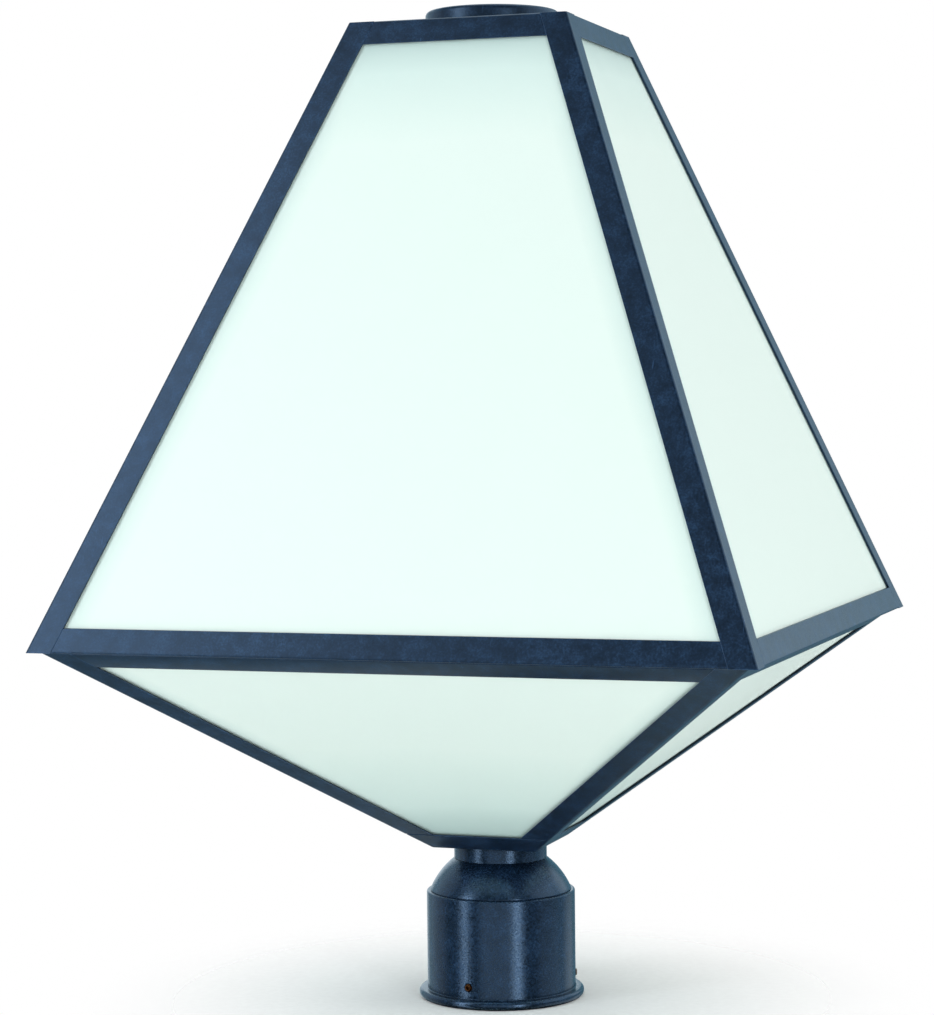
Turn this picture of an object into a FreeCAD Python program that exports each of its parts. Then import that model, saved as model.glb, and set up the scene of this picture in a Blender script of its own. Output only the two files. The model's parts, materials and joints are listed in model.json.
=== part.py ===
import FreeCAD, Part
import math
import os
import re
import Sketcher

# Post top lantern: a tapering cage of folded steel angle and opal glass, which lifts off
# a shallow bowl of the same build, on a round fitter that slips over a post.
# Millimetres, Z up. The origin is the centre of the fitter's foot. The front is -Y.

# ---------------------------------------------------------------- driving dimensions

SIZES = [
    # folded steel
    ("sheet", 1.4, "thickness of the folded steel"),
    ("cage_bar", 13.5, "width of a cage bar's leg, square to its edge"),
    ("bowl_bar", 12.8, "width of a bowl bar's leg, square to its edge"),
    ("ring_bar", 15, "width of the base ring's sloping leg"),
    ("cage_flange", 13, "depth of the level leg of a cage rail"),
    ("bowl_flange", 16, "depth of the level leg of a bowl rail"),
    # cage and bowl
    ("waist_level", 202.3, "underside of the cage above the foot"),
    ("cage_height", 326.4, "height of the cage"),
    ("cage_half_low", 190, "half the width of the cage at the waist"),
    ("cage_half_top", 60.4, "half the width of the cage at the top"),
    ("seat_gap", 0.3, "gap between cage and bowl"),
    ("bowl_half_top", 184.4, "half the width of the bowl at the waist"),
    ("bowl_half_base", 29.4, "half the width of the bowl at its base"),
    ("base_level", 84.3, "underside of the bowl above the foot"),
    ("ring_hole", 18, "radius of the opening in the base ring and neck"),
    ("tab_width", 30, "width of a tab that centres the cage"),
    ("tab_height", 7, "height of that tab above the bowl"),
    ("tab_gap", 1.2, "gap between the tab and the cage's flange"),
    # glass and its clips
    ("glass", 3, "thickness of a pane"),
    ("pane_gap", 0.3, "gap between a pane and the steel round it"),
    ("pane_corner_gap", 0.6, "gap between the panes at a corner"),
    ("clip_width", 12, "width of a spring clip"),
    ("clip_height", 14, "height of a spring clip"),
    ("clip_sheet", 1.0, "thickness of a spring clip"),
    ("clip_offset", 100, "distance of a clip from the middle of its side"),
    ("clip_edge", 0.6, "how far a clip's foot stays behind the flange's edge"),
    # roof
    ("top_plate_thickness", 1.5, "thickness of the plate that closes the cage"),
    ("plate_gap", 0.5, "gap round the top plate and the base plate"),
    ("gasket_thickness", 0.8, "thickness of the cap gasket"),
    ("gasket_inset", 0.8, "gasket's edge inside the cap's edge"),
    ("gasket_width", 4.2, "width of the gasket's ring"),
    ("cap_radius", 36.4, "radius of the round cap"),
    ("cap_height", 10.3, "height of the round cap"),
    ("cap_wall", 1.6, "thickness of the cap"),
    ("cap_round", 2.5, "rounding of the cap's upper edge"),
    ("nut_head_radius", 10, "radius of the cap nut's head"),
    ("nut_head", 3, "height of the cap nut's head"),
    ("nut_bevel", 1.2, "bevel on the cap nut's head"),
    ("nut_shank_radius", 6.2, "radius of the cap nut's shank"),
    ("nut_shank", 6, "length of the cap nut's shank"),
    ("nut_slot_width", 1.8, "width of the slot in the cap nut"),
    ("nut_slot_depth", 1.2, "depth of the slot in the cap nut"),
    ("nut_roof", 0.7, "height of the nut's bore above the cap"),
    ("turning_gap", 0.08, "radial clearance of what turns or slides"),
    # centre rod and its yoke
    ("rod_radius", 3.175, "radius of the threaded centre rod"),
    ("rod_hole_gap", 0.45, "radial clearance of the rod in the top plate"),
    ("rod_collar_radius", 5.5, "radius of the rod's collar"),
    ("rod_collar", 3, "height of the rod's collar"),
    ("rod_tip_radius", 2.6, "radius of the rod's riveted tip"),
    ("rod_tip", 3.5, "length of the rod's riveted tip"),
    ("yoke_half", 13, "half the width of the yoke over its legs"),
    ("yoke_height", 18, "height of the yoke"),
    ("yoke_width", 10, "width of the yoke's strip"),
    ("yoke_sheet", 2, "thickness of the yoke's strip"),
    # post fitter, dome and neck
    ("post_bore_radius", 38.4, "radius of the bore for the post"),
    ("post_depth", 48, "depth of the bore to the post's stop"),
    ("stop_radius", 34, "inner radius of the post's stop"),
    ("barrel_radius", 40.8, "outer radius of the fitter's barrel"),
    ("barrel_height", 58.3, "height of the fitter"),
    ("barrel_round", 0.9, "rounding of the barrel's upper edge"),
    ("barrel_web", 3, "thickness of the fitter's top web"),
    ("foot_edge_radius", 44, "radius where the foot flange's round edge starts"),
    ("foot_height", 4.6, "height of the foot flange"),
    ("foot_round", 2.6, "rounding of the foot flange's edge"),
    ("dome_foot_radius", 38.7, "radius of the dome at its foot"),
    ("dome_band", 0.6, "height of the dome's upright edge"),
    ("dome_round", 42.1, "radius of the dome's curve"),
    ("dome_wall", 2, "thickness of the dome"),
    ("neck_level", 75.8, "underside of the neck above the foot"),
    ("neck_radius", 25.5, "radius of the neck"),
    # set screws
    ("screw_level", 11, "height of the set screws above the foot"),
    ("screw_radius", 2.15, "radius of a set screw"),
    ("screw_gap", 0.05, "radial clearance of a set screw in its hole"),
    ("screw_length", 3, "length of a set screw"),
    ("screw_inset", 0.2, "how far a screw's tip stays outside the bore at rest"),
    ("screw_socket", 1.2, "radius of the set screw's hexagon socket"),
    ("screw_socket_depth", 1.6, "depth of the hexagon socket"),
    # nipple and its nuts
    ("nipple_radius", 4.8, "outer radius of the threaded nipple"),
    ("nipple_bore", 3.4, "radius of the wires' way through the nipple"),
    ("nipple_low", 49.5, "lower end of the nipple above the foot"),
    ("nipple_gap", 0.1, "radial clearance of the nipple in the plates"),
    ("thread_gap", 0.05, "radial clearance of the nuts on the nipple"),
    ("hex_radius", 7.5, "radius of the nuts over their corners"),
    ("hex_height", 4, "height of a nut"),
    ("nipple_end", 1.5, "nipple's length above its top nut"),
    ("base_plate_thickness", 2.5, "thickness of the base plate"),
    # lamp cluster
    ("bracket_level", 106, "underside of the lamp bracket above the foot"),
    ("bracket_sheet", 2, "thickness of the lamp bracket"),
    ("bracket_hub", 20, "radius of the bracket's middle"),
    ("bracket_arm", 14, "width of the bracket's arms"),
    ("bracket_end", 12.5, "radius of an arm's end"),
    ("lamp_circle", 30, "radius of the circle of lamps"),
    ("holder_radius", 12, "radius of a lampholder"),
    ("holder_rim", 13.2, "radius of a lampholder's rim"),
    ("holder_rim_height", 6, "height of that rim"),
    ("holder_height", 40, "height of a lampholder"),
    ("holder_floor", 17, "height of the socket's floor in the lampholder"),
    ("shell_wall", 0.6, "thickness of the screw shell"),
    ("shell_gap", 0.1, "clearance of the screw shell in its holder"),
    ("shell_hole", 3.2, "radius of the hole in the shell's floor"),
    ("lamp_base_radius", 5.97, "radius of the lamp's screw base"),
    ("lamp_base_height", 24, "height of the lamp's screw base"),
    ("lamp_tip_radius", 2.4, "radius of the lamp's end contact"),
    ("lamp_tip", 1.8, "height of the lamp's end contact"),
    ("lamp_cone", 3.5, "height of the lamp base's cone above its tip"),
    ("lamp_neck_radius", 6.3, "radius of the lamp's neck"),
    ("lamp_radius", 17.5, "largest radius of the lamp"),
    ("lamp_middle", 56, "height of the lamp's widest place"),
    ("lamp_height", 98, "height of the whole lamp"),
    ("lamp_point_radius", 1.5, "radius of the flat at the lamp's point"),
    ("lamp_wall", 0.9, "thickness of the lamp's glass"),
    ("lamp_low_curve", 48, "radius of the curve below the widest place"),
    ("lamp_high_curve", 62, "radius of the curve above the widest place"),
]

# Sizes that follow from the ones above.
DERIVED = {
    "cage_top": "waist_level + cage_height",
    "cage_run": "cage_half_low - cage_half_top",
    "cage_slant": "sqrt(pow(cage_run; 2) + pow(cage_height; 2))",
    "cage_lean": "cage_slant / cage_height",
    "cage_wall": "sheet * cage_lean",
    "cage_bar_across": "cage_bar * sqrt(pow(cage_run; 2) + pow(cage_slant; 2)) / cage_slant",
    "cage_bar_rise": "cage_bar / cage_lean",
    "cage_pane_out": "(sheet + pane_gap) * cage_lean",
    "cage_pane_in": "(sheet + pane_gap + glass) * cage_lean",
    "bowl_top": "waist_level - seat_gap",
    "bowl_height": "bowl_top - base_level",
    "bowl_run": "bowl_half_top - bowl_half_base",
    "bowl_slant": "sqrt(pow(bowl_run; 2) + pow(bowl_height; 2))",
    "bowl_lean": "bowl_slant / bowl_height",
    "bowl_wall": "sheet * bowl_lean",
    "bowl_bar_across": "bowl_bar * sqrt(pow(bowl_run; 2) + pow(bowl_slant; 2)) / bowl_slant",
    "bowl_bar_rise": "bowl_bar / bowl_lean",
    "bowl_pane_out": "(sheet + pane_gap) * bowl_lean",
    "bowl_pane_in": "(sheet + pane_gap + glass) * bowl_lean",
    "ring_top": "base_level + ring_bar / bowl_lean",
    "base_plate_level": "base_level + sheet",
    "base_plate_top": "base_plate_level + base_plate_thickness",
    "plate_top": "cage_top - sheet",
    "plate_level": "plate_top - top_plate_thickness",
    "cap_level": "plate_top + gasket_thickness",
    "cap_top": "cap_level + cap_height",
    "gasket_radius": "cap_radius - gasket_inset",
    "nut_bore": "rod_radius + turning_gap",
    "nut_hole": "nut_shank_radius + turning_gap",
    "nut_level": "cap_top - nut_shank",
    "nut_top": "cap_top + nut_head",
    "bracket_top": "bracket_level + bracket_sheet",
    "yoke_top": "bracket_top + yoke_height",
    "web_level": "barrel_height - barrel_web",
    "nipple_hole": "nipple_radius + nipple_gap",
    "nipple_high": "bracket_top + hex_height + nipple_end",
    "dome_curve_foot": "barrel_height + dome_band",
    "screw_start": "post_bore_radius + screw_inset",
    "shell_radius": "lamp_base_radius + turning_gap + shell_wall",
    "shell_floor": "holder_floor + shell_gap",
    "socket_radius": "shell_radius + shell_gap",
    "lamp_foot": "bracket_top + holder_floor + shell_gap",
}

SIDES = ("front", "right", "back", "left")
CORNERS = ("front_left", "front_right", "back_right", "back_left")
QUARTER = 90
SCREW_TURN = -8     # the set screws' turn from the front, in degrees
LAMP_TURN = 60      # the first lamp's turn from the front, in degrees
THIRD = 120
COUNT = 3
FULL_TURN = 360
HEXAGON = 6
OVER = "1"          # how far a cutting solid runs past what it cuts

Z_AXIS = FreeCAD.Vector(0, 0, 1)
X_AXIS = FreeCAD.Vector(1, 0, 0)
NAMES = [alias for alias, value, note in SIZES]

doc = FreeCAD.newDocument("lantern")
sheet = doc.addObject("Spreadsheet::Sheet", "Sizes")
for row, (alias, value, note) in enumerate(SIZES, start=1):
    sheet.set("A%d" % row, note)
    sheet.set("B%d" % row, str(value))
    sheet.setAlias("B%d" % row, alias)
doc.recompute()

nodes = []


# ---------------------------------------------------------------- expressions

def bound(text):
    """Write out a size formula so that it reads the sheet."""
    def word(match):
        name = match.group(0)
        if name in DERIVED:
            return "(" + bound(DERIVED[name]) + ")"
        if name in NAMES:
            return "Sizes." + name
        return name
    return re.sub(r"[a-z_]+", word, text)


def number(text):
    """The present value of a size formula."""
    return float(sheet.evalExpression(bound(text)))


def cage_half(level):
    """Half the width of the cage at a level."""
    return "(cage_half_low - (%s - waist_level) * cage_run / cage_height)" % level


def bowl_half(level):
    """Half the width of the bowl at a level."""
    return "(bowl_half_base + (%s - base_level) * bowl_run / bowl_height)" % level


# ---------------------------------------------------------------- building blocks

def keep(piece, label, turn=0, x="0", y="0", z="0"):
    """Name a finished sub-part, place it and list it as a node."""
    piece.Label = label
    piece.Placement = FreeCAD.Placement(FreeCAD.Vector(), FreeCAD.Rotation(Z_AXIS, turn))
    move(piece, x, y, z)
    nodes.append(piece)
    return piece


def move(piece, x="0", y="0", z="0"):
    """Bind a piece's place to size formulas."""
    for axis, text in (("x", x), ("y", y), ("z", z)):
        if text != "0":
            piece.setExpression("Placement.Base." + axis, bound(text))


def sloped_block(name, half, low, high, x_from, x_to, y_from, y_to):
    """A block between two levels whose sides lean as the frame does.

    HALF in a side's formula is half the frame's width at that level.
    """
    block = doc.addObject("Part::Wedge", name)
    block.Placement = FreeCAD.Placement(FreeCAD.Vector(), FreeCAD.Rotation(X_AXIS, QUARTER))
    block.setExpression("Ymin", bound(low))
    block.setExpression("Ymax", bound(high))
    for mark, level in (("", low), ("2", high)):
        for side, text in (("min", x_from), ("max", x_to)):
            block.setExpression("X" + mark + side, bound(text.replace("HALF", half(level))))
        for side, text in (("min", y_to), ("max", y_from)):
            formula = "-(" + text.replace("HALF", half(level)) + ")"
            block.setExpression("Z" + mark + side, bound(formula))
    return block


def cut(name, base, tool):
    """One solid less another."""
    result = doc.addObject("Part::Cut", name)
    result.Base = base
    result.Tool = tool
    return result


def fuse(name, base, tool):
    """Two solids made one."""
    result = doc.addObject("Part::Fuse", name)
    result.Base = base
    result.Tool = tool
    return result


def folded(name, half, solid, hollow):
    """A folded angle: a sloped block less the hollow between its two legs."""
    outer = sloped_block(name + "_outer", half, *solid)
    inner = sloped_block(name + "_inner", half, *hollow)
    return cut(name, outer, inner)


def group(label, pieces):
    """Identical small pieces that share one node."""
    result = doc.addObject("Part::Compound", label)
    result.Links = pieces
    return keep(result, label)


def new_body(label):
    """An empty body for sketched features."""
    return doc.addObject("PartDesign::Body", label)


def origin_part(body, role):
    """One of a body's own planes or axes."""
    for feature in body.Origin.OriginFeatures:
        if feature.Role == role:
            return feature
    raise ValueError(role)


def new_sketch(body, role, name):
    """A sketch on one of the body's own planes."""
    sketch = body.newObject("Sketcher::SketchObject", name)
    sketch.AttachmentSupport = (origin_part(body, role), [""])
    sketch.MapMode = "FlatFace"
    return sketch


def constrain(sketch, kind, *where, size):
    """A dimension of a sketch, bound to a size formula."""
    index = sketch.addConstraint(Sketcher.Constraint(kind, *where, number(size)))
    sketch.setExpression("Constraints[%d]" % index, bound(size))


def arc_through(start, end, radius):
    """The arc from start to end, with its centre on the left of the way between them."""
    middle = (start + end) * 0.5
    chord = end - start
    left = FreeCAD.Vector(-chord.y, chord.x, 0).normalize()
    reach = math.sqrt(max(radius ** 2 - (chord.Length / 2) ** 2, 0))
    centre = middle + left * reach
    first = math.atan2(start.y - centre.y, start.x - centre.x)
    last = math.atan2(end.y - centre.y, end.x - centre.x)
    return Part.ArcOfCircle(Part.Circle(centre, Z_AXIS, radius), first, last)


def outline(sketch, corners):
    """A closed outline. A corner is (across, up) or (across, up, radius of the arc after it).

    It is drawn anticlockwise, so an arc with a plus radius bulges outwards. A minus radius
    hollows the outline.
    """
    points = [FreeCAD.Vector(number(corner[0]), number(corner[1]), 0) for corner in corners]
    ends = []
    for place, corner in enumerate(corners):
        start = points[place]
        end = points[(place + 1) % len(points)]
        if len(corner) == 2:
            sketch.addGeometry(Part.LineSegment(start, end), False)
            ends.append((1, 2))
        elif corner[2].startswith("-"):
            sketch.addGeometry(arc_through(end, start, number(corner[2][1:])), False)
            ends.append((2, 1))
        else:
            sketch.addGeometry(arc_through(start, end, number(corner[2])), False)
            ends.append((1, 2))
    for place, corner in enumerate(corners):
        after = (place + 1) % len(corners)
        sketch.addConstraint(
            Sketcher.Constraint("Coincident", place, ends[place][1], after, ends[after][0]))
    for place, corner in enumerate(corners):
        constrain(sketch, "DistanceX", -1, 1, place, ends[place][0], size=corner[0])
        constrain(sketch, "DistanceY", -1, 1, place, ends[place][0], size=corner[1])
        if len(corner) == 3:
            constrain(sketch, "Radius", place, size=corner[2].lstrip("-"))


def circle(sketch, x, y, radius):
    """A circle in a sketch."""
    centre = FreeCAD.Vector(number(x), number(y), 0)
    index = sketch.addGeometry(Part.Circle(centre, Z_AXIS, number(radius)), False)
    constrain(sketch, "DistanceX", -1, 1, index, 3, size=x)
    constrain(sketch, "DistanceY", -1, 1, index, 3, size=y)
    constrain(sketch, "Radius", index, size=radius)


def revolved(label, corners):
    """A turned piece: an outline of (radius, level) corners taken round the Z axis."""
    body = new_body(label)
    sketch = new_sketch(body, "XZ_Plane", label + "_profile")
    outline(sketch, corners)
    turn = body.newObject("PartDesign::Revolution", label + "_turned")
    turn.Profile = sketch
    turn.ReferenceAxis = (sketch, ["V_Axis"])
    turn.Angle = FULL_TURN
    return body


def pad(body, sketch, name, height):
    """Give a sketch its thickness."""
    result = body.newObject("PartDesign::Pad", name)
    result.Profile = sketch
    result.setExpression("Length", bound(height))
    return result


def square_plate(label, half, thickness, hole):
    """A flat square plate with a round hole in the middle."""
    body = new_body(label)
    sketch = new_sketch(body, "XY_Plane", label + "_outline")
    low = "-(" + half + ")"
    outline(sketch, [(low, low), (half, low), (half, half), (low, half)])
    circle(sketch, "0", "0", hole)
    pad(body, sketch, label + "_plate", thickness)
    return body


def ring(label, outer, inner, low, high):
    """A plain turned ring."""
    return revolved(label, [(inner, low), (outer, low), (outer, high), (inner, high)])


# ---------------------------------------------------------------- cage

def make_cage():
    """The upper frame: four corner bars, four top rails and four waist rails."""
    for place, corner in enumerate(CORNERS):
        edge = ("-HALF", "-HALF + cage_bar_across")
        hollow = ("-HALF + cage_wall", "-HALF + cage_bar_across + " + OVER)
        label = "cage_corner_" + corner
        bar = folded(label, cage_half,
                     ("waist_level", "cage_top", *edge, *edge),
                     ("waist_level + sheet", "cage_top - sheet", *hollow, *hollow))
        keep(bar, label, place * QUARTER)
    for place, side in enumerate(SIDES):
        width = ("-(HALF - cage_bar_across)", "HALF - cage_bar_across")
        label = "cage_waist_rail_" + side
        rail = folded(label, cage_half,
                      ("waist_level", "waist_level + cage_bar_rise", *width,
                       "-HALF", "-HALF + cage_flange"),
                      ("waist_level + sheet", "waist_level + cage_bar_rise + " + OVER,
                       "-HALF", "HALF", "-HALF + cage_wall", "-HALF + cage_flange + " + OVER))
        keep(rail, label, place * QUARTER)
        label = "cage_top_rail_" + side
        rail = folded(label, cage_half,
                      ("cage_top - cage_bar_rise", "cage_top", *width,
                       "-HALF", "-HALF + cage_flange"),
                      ("cage_top - cage_bar_rise - " + OVER, "cage_top - sheet",
                       "-HALF", "HALF", "-HALF + cage_wall", "-HALF + cage_flange + " + OVER))
        keep(rail, label, place * QUARTER)


# ---------------------------------------------------------------- bowl

def make_bowl():
    """The lower frame: four corner bars, four waist rails with tabs, and the base ring."""
    for place, corner in enumerate(CORNERS):
        edge = ("-HALF", "-HALF + bowl_bar_across")
        hollow = ("-HALF + bowl_wall", "-HALF + bowl_bar_across + " + OVER)
        label = "bowl_corner_" + corner
        bar = folded(label, bowl_half,
                     ("ring_top", "bowl_top", *edge, *edge),
                     ("ring_top - " + OVER, "bowl_top - sheet", *hollow, *hollow))
        keep(bar, label, place * QUARTER)
    for place, side in enumerate(SIDES):
        width = ("-(HALF - bowl_bar_across)", "HALF - bowl_bar_across")
        label = "bowl_waist_rail_" + side
        rail = folded(label + "_angle", bowl_half,
                      ("bowl_top - bowl_bar_rise", "bowl_top", *width,
                       "-HALF", "-HALF + bowl_flange"),
                      ("bowl_top - bowl_bar_rise - " + OVER, "bowl_top - sheet",
                       "-HALF", "HALF", "-HALF + bowl_wall", "-HALF + bowl_flange + " + OVER))
        tab = doc.addObject("Part::Box", label + "_tab")
        tab.setExpression("Length", bound("tab_width"))
        tab.setExpression("Width", bound("sheet"))
        tab.setExpression("Height", bound("sheet + tab_height"))
        move(tab, "-tab_width / 2", "-cage_half_low + cage_flange + tab_gap", "bowl_top - sheet")
        keep(fuse(label, rail, tab), label, place * QUARTER)
    make_base_ring()


def make_base_ring():
    """The small square at the foot of the bowl, with a round opening."""
    square = ("-HALF", "HALF")
    inside = ("-(HALF - bowl_wall)", "HALF - bowl_wall")
    tray = folded("base_ring_tray", bowl_half,
                  ("base_level", "ring_top", *square, *square),
                  ("base_level + sheet", "ring_top + " + OVER, *inside, *inside))
    hole = doc.addObject("Part::Cylinder", "base_ring_hole")
    hole.setExpression("Radius", bound("ring_hole"))
    hole.setExpression("Height", bound("sheet + 2 * " + OVER))
    move(hole, z="base_level - " + OVER)
    keep(cut("bowl_base_ring", tray, hole), "bowl_base_ring")


# ---------------------------------------------------------------- glass and clips

def make_panes():
    """Eight opal panes, behind the legs of the bars."""
    for place, side in enumerate(SIDES):
        pane = sloped_block("upper_pane_" + side, cage_half,
                            "waist_level + sheet + pane_gap", "plate_level - pane_gap",
                            "-(HALF - cage_pane_in - pane_corner_gap)",
                            "HALF - cage_pane_in - pane_corner_gap",
                            "-HALF + cage_pane_out", "-HALF + cage_pane_in")
        keep_turned_block(pane, "upper_pane_" + side, place)
        pane = sloped_block("lower_pane_" + side, bowl_half,
                            "base_plate_top + plate_gap", "bowl_top - sheet - pane_gap",
                            "-(HALF - bowl_pane_in - pane_corner_gap)",
                            "HALF - bowl_pane_in - pane_corner_gap",
                            "-HALF + bowl_pane_out", "-HALF + bowl_pane_in")
        keep_turned_block(pane, "lower_pane_" + side, place)


def keep_turned_block(block, label, place):
    """Turn an upright block to its side of the lantern and list it as a node."""
    block.Label = label
    turn = FreeCAD.Rotation(Z_AXIS, place * QUARTER)
    block.Placement = FreeCAD.Placement(FreeCAD.Vector(), turn * block.Placement.Rotation)
    nodes.append(block)


def make_clips():
    """Spring clips that press the panes outwards, two to a pane."""
    upper = []
    lower = []
    for place, side in enumerate(SIDES):
        for hand, sign in (("a", "-"), ("b", "")):
            width = ("%sclip_offset - clip_width / 2" % sign, "%sclip_offset + clip_width / 2" % sign)
            name = "upper_clip_" + side + "_" + hand
            foot = "waist_level + sheet"
            face = "-HALF + cage_pane_in + pane_gap"
            clip = folded(name, cage_half,
                          (foot, foot + " + clip_height", *width,
                           face, "-HALF + cage_flange - clip_edge"),
                          (foot + " + clip_sheet", foot + " + clip_height + " + OVER,
                           "-HALF", "HALF", face + " + clip_sheet * cage_lean",
                           "-HALF + cage_flange + " + OVER))
            clip.Placement = FreeCAD.Placement(
                FreeCAD.Vector(), FreeCAD.Rotation(Z_AXIS, place * QUARTER))
            upper.append(clip)
            name = "lower_clip_" + side + "_" + hand
            head = "bowl_top - sheet"
            face = "-HALF + bowl_pane_in + pane_gap"
            clip = folded(name, bowl_half,
                          (head + " - clip_height", head, *width,
                           face, "-HALF + bowl_flange - clip_edge"),
                          (head + " - clip_height - " + OVER, head + " - clip_sheet",
                           "-HALF", "HALF", face + " + clip_sheet * bowl_lean",
                           "-HALF + bowl_flange + " + OVER))
            clip.Placement = FreeCAD.Placement(
                FreeCAD.Vector(), FreeCAD.Rotation(Z_AXIS, place * QUARTER))
            lower.append(clip)
    group("upper_pane_clips", upper)
    group("lower_pane_clips", lower)


# ---------------------------------------------------------------- roof

def make_roof():
    """Top plate, gasket, round cap and the slotted nut that holds them down."""
    half = cage_half("plate_top") + " - cage_wall - plate_gap"
    plate = square_plate("top_plate", half, "top_plate_thickness", "rod_radius + rod_hole_gap")
    keep(plate, "top_plate", z="plate_level")
    gasket = ring("cap_gasket", "gasket_radius", "gasket_radius - gasket_width", "plate_top", "cap_level")
    keep(gasket, "cap_gasket")
    cap = revolved("cap", [
        ("cap_radius - cap_wall", "cap_level"),
        ("cap_radius", "cap_level"),
        ("cap_radius", "cap_top - cap_round", "cap_round"),
        ("cap_radius - cap_round", "cap_top"),
        ("nut_hole", "cap_top"),
        ("nut_hole", "cap_top - cap_wall"),
        ("cap_radius - cap_wall", "cap_top - cap_wall"),
    ])
    keep(cap, "cap")
    nut = revolved("cap_nut_blank", [
        ("nut_bore", "nut_level"),
        ("nut_shank_radius", "nut_level"),
        ("nut_shank_radius", "cap_top + turning_gap"),
        ("nut_head_radius", "cap_top + turning_gap"),
        ("nut_head_radius", "nut_top - nut_bevel"),
        ("nut_head_radius - nut_bevel", "nut_top"),
        ("0", "nut_top"),
        ("0", "cap_top + nut_roof"),
        ("nut_bore", "cap_top + nut_roof"),
    ])
    slot = doc.addObject("Part::Box", "cap_nut_slot")
    slot.setExpression("Length", bound("2 * nut_head_radius + 2 * " + OVER))
    slot.setExpression("Width", bound("nut_slot_width"))
    slot.setExpression("Height", bound("nut_slot_depth + " + OVER))
    move(slot, "-nut_head_radius - " + OVER, "-nut_slot_width / 2", "nut_top - nut_slot_depth")
    keep(cut("cap_nut", nut, slot), "cap_nut")


def make_rod():
    """The rod that the cap nut pulls on, and the yoke it stands on over the wires' way."""
    rod = revolved("center_rod", [
        ("0", "yoke_top - rod_tip"),
        ("rod_tip_radius", "yoke_top - rod_tip"),
        ("rod_tip_radius", "yoke_top"),
        ("rod_collar_radius", "yoke_top"),
        ("rod_collar_radius", "yoke_top + rod_collar"),
        ("rod_radius", "yoke_top + rod_collar"),
        ("rod_radius", "cap_top"),
        ("0", "cap_top"),
    ])
    keep(rod, "center_rod")
    body = new_body("rod_yoke")
    sketch = new_sketch(body, "XZ_Plane", "rod_yoke_profile")
    outline(sketch, [
        ("-yoke_half", "bracket_top"),
        ("-yoke_half + yoke_sheet", "bracket_top"),
        ("-yoke_half + yoke_sheet", "yoke_top - yoke_sheet"),
        ("yoke_half - yoke_sheet", "yoke_top - yoke_sheet"),
        ("yoke_half - yoke_sheet", "bracket_top"),
        ("yoke_half", "bracket_top"),
        ("yoke_half", "yoke_top"),
        ("-yoke_half", "yoke_top"),
    ])
    strip = pad(body, sketch, "rod_yoke_strip", "yoke_width")
    strip.Midplane = True
    hole = new_sketch(body, "XY_Plane", "rod_yoke_hole_outline")
    circle(hole, "0", "0", "rod_tip_radius + thread_gap")
    pocket = body.newObject("PartDesign::Pocket", "rod_yoke_hole")
    pocket.Profile = hole
    pocket.Type = "ThroughAll"
    pocket.Reversed = True
    keep(body, "rod_yoke")


# ---------------------------------------------------------------- post fitter

def make_fitter():
    """The barrel with its foot flange and screw holes, the dome above it and the neck."""
    barrel = revolved("post_fitter", [
        ("post_bore_radius", "0"),
        ("foot_edge_radius", "0", "foot_round"),
        ("foot_edge_radius", "foot_height"),
        ("barrel_radius", "foot_height"),
        ("barrel_radius", "barrel_height - barrel_round", "barrel_round"),
        ("barrel_radius - barrel_round", "barrel_height"),
        ("nipple_hole", "barrel_height"),
        ("nipple_hole", "web_level"),
        ("stop_radius", "web_level"),
        ("stop_radius", "post_depth"),
        ("post_bore_radius", "post_depth"),
    ])
    sketch = new_sketch(barrel, "XZ_Plane", "screw_hole_outline")
    circle(sketch, "0", "screw_level", "screw_radius + screw_gap")
    hole = barrel.newObject("PartDesign::Pocket", "screw_hole")
    hole.Profile = sketch
    hole.Reversed = True
    hole.setExpression("Length", bound("barrel_radius + " + OVER))
    pattern = barrel.newObject("PartDesign::PolarPattern", "screw_holes")
    pattern.Originals = [hole]
    pattern.Axis = (origin_part(barrel, "Z_Axis"), [""])
    pattern.Angle = FULL_TURN
    pattern.Occurrences = COUNT
    barrel.Tip = pattern
    keep(barrel, "post_fitter", SCREW_TURN)
    dome = revolved("shoulder_dome", [
        ("dome_foot_radius - dome_wall", "barrel_height"),
        ("dome_foot_radius", "barrel_height"),
        ("dome_foot_radius", "dome_curve_foot", "dome_round"),
        ("neck_radius", "neck_level"),
        ("nipple_hole", "neck_level"),
        ("nipple_hole", "neck_level - dome_wall"),
        ("neck_radius - dome_wall", "neck_level - dome_wall", "-dome_round - dome_wall"),
        ("dome_foot_radius - dome_wall", "dome_curve_foot"),
    ])
    keep(dome, "shoulder_dome")
    keep(ring("neck_collar", "neck_radius", "ring_hole", "neck_level", "base_level"), "neck_collar")


def make_set_screws():
    """Three headless screws that grip the post, backed out of the bore at rest."""
    for place in range(COUNT):
        label = "set_screw_%d" % (place + 1)
        shank = doc.addObject("Part::Cylinder", label + "_shank")
        shank.setExpression("Radius", bound("screw_radius"))
        shank.setExpression("Height", bound("screw_length"))
        shank.Placement = FreeCAD.Placement(FreeCAD.Vector(), FreeCAD.Rotation(X_AXIS, QUARTER))
        move(shank, y="-screw_start", z="screw_level")
        socket = doc.addObject("Part::Prism", label + "_socket")
        socket.Polygon = HEXAGON
        socket.setExpression("Circumradius", bound("screw_socket"))
        socket.setExpression("Height", bound("screw_socket_depth + " + OVER))
        socket.Placement = shank.Placement
        move(socket, y="-(screw_start + screw_length - screw_socket_depth)", z="screw_level")
        keep(cut(label, shank, socket), label, SCREW_TURN + place * THIRD)


# ---------------------------------------------------------------- clamped stack and lamps

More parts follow.
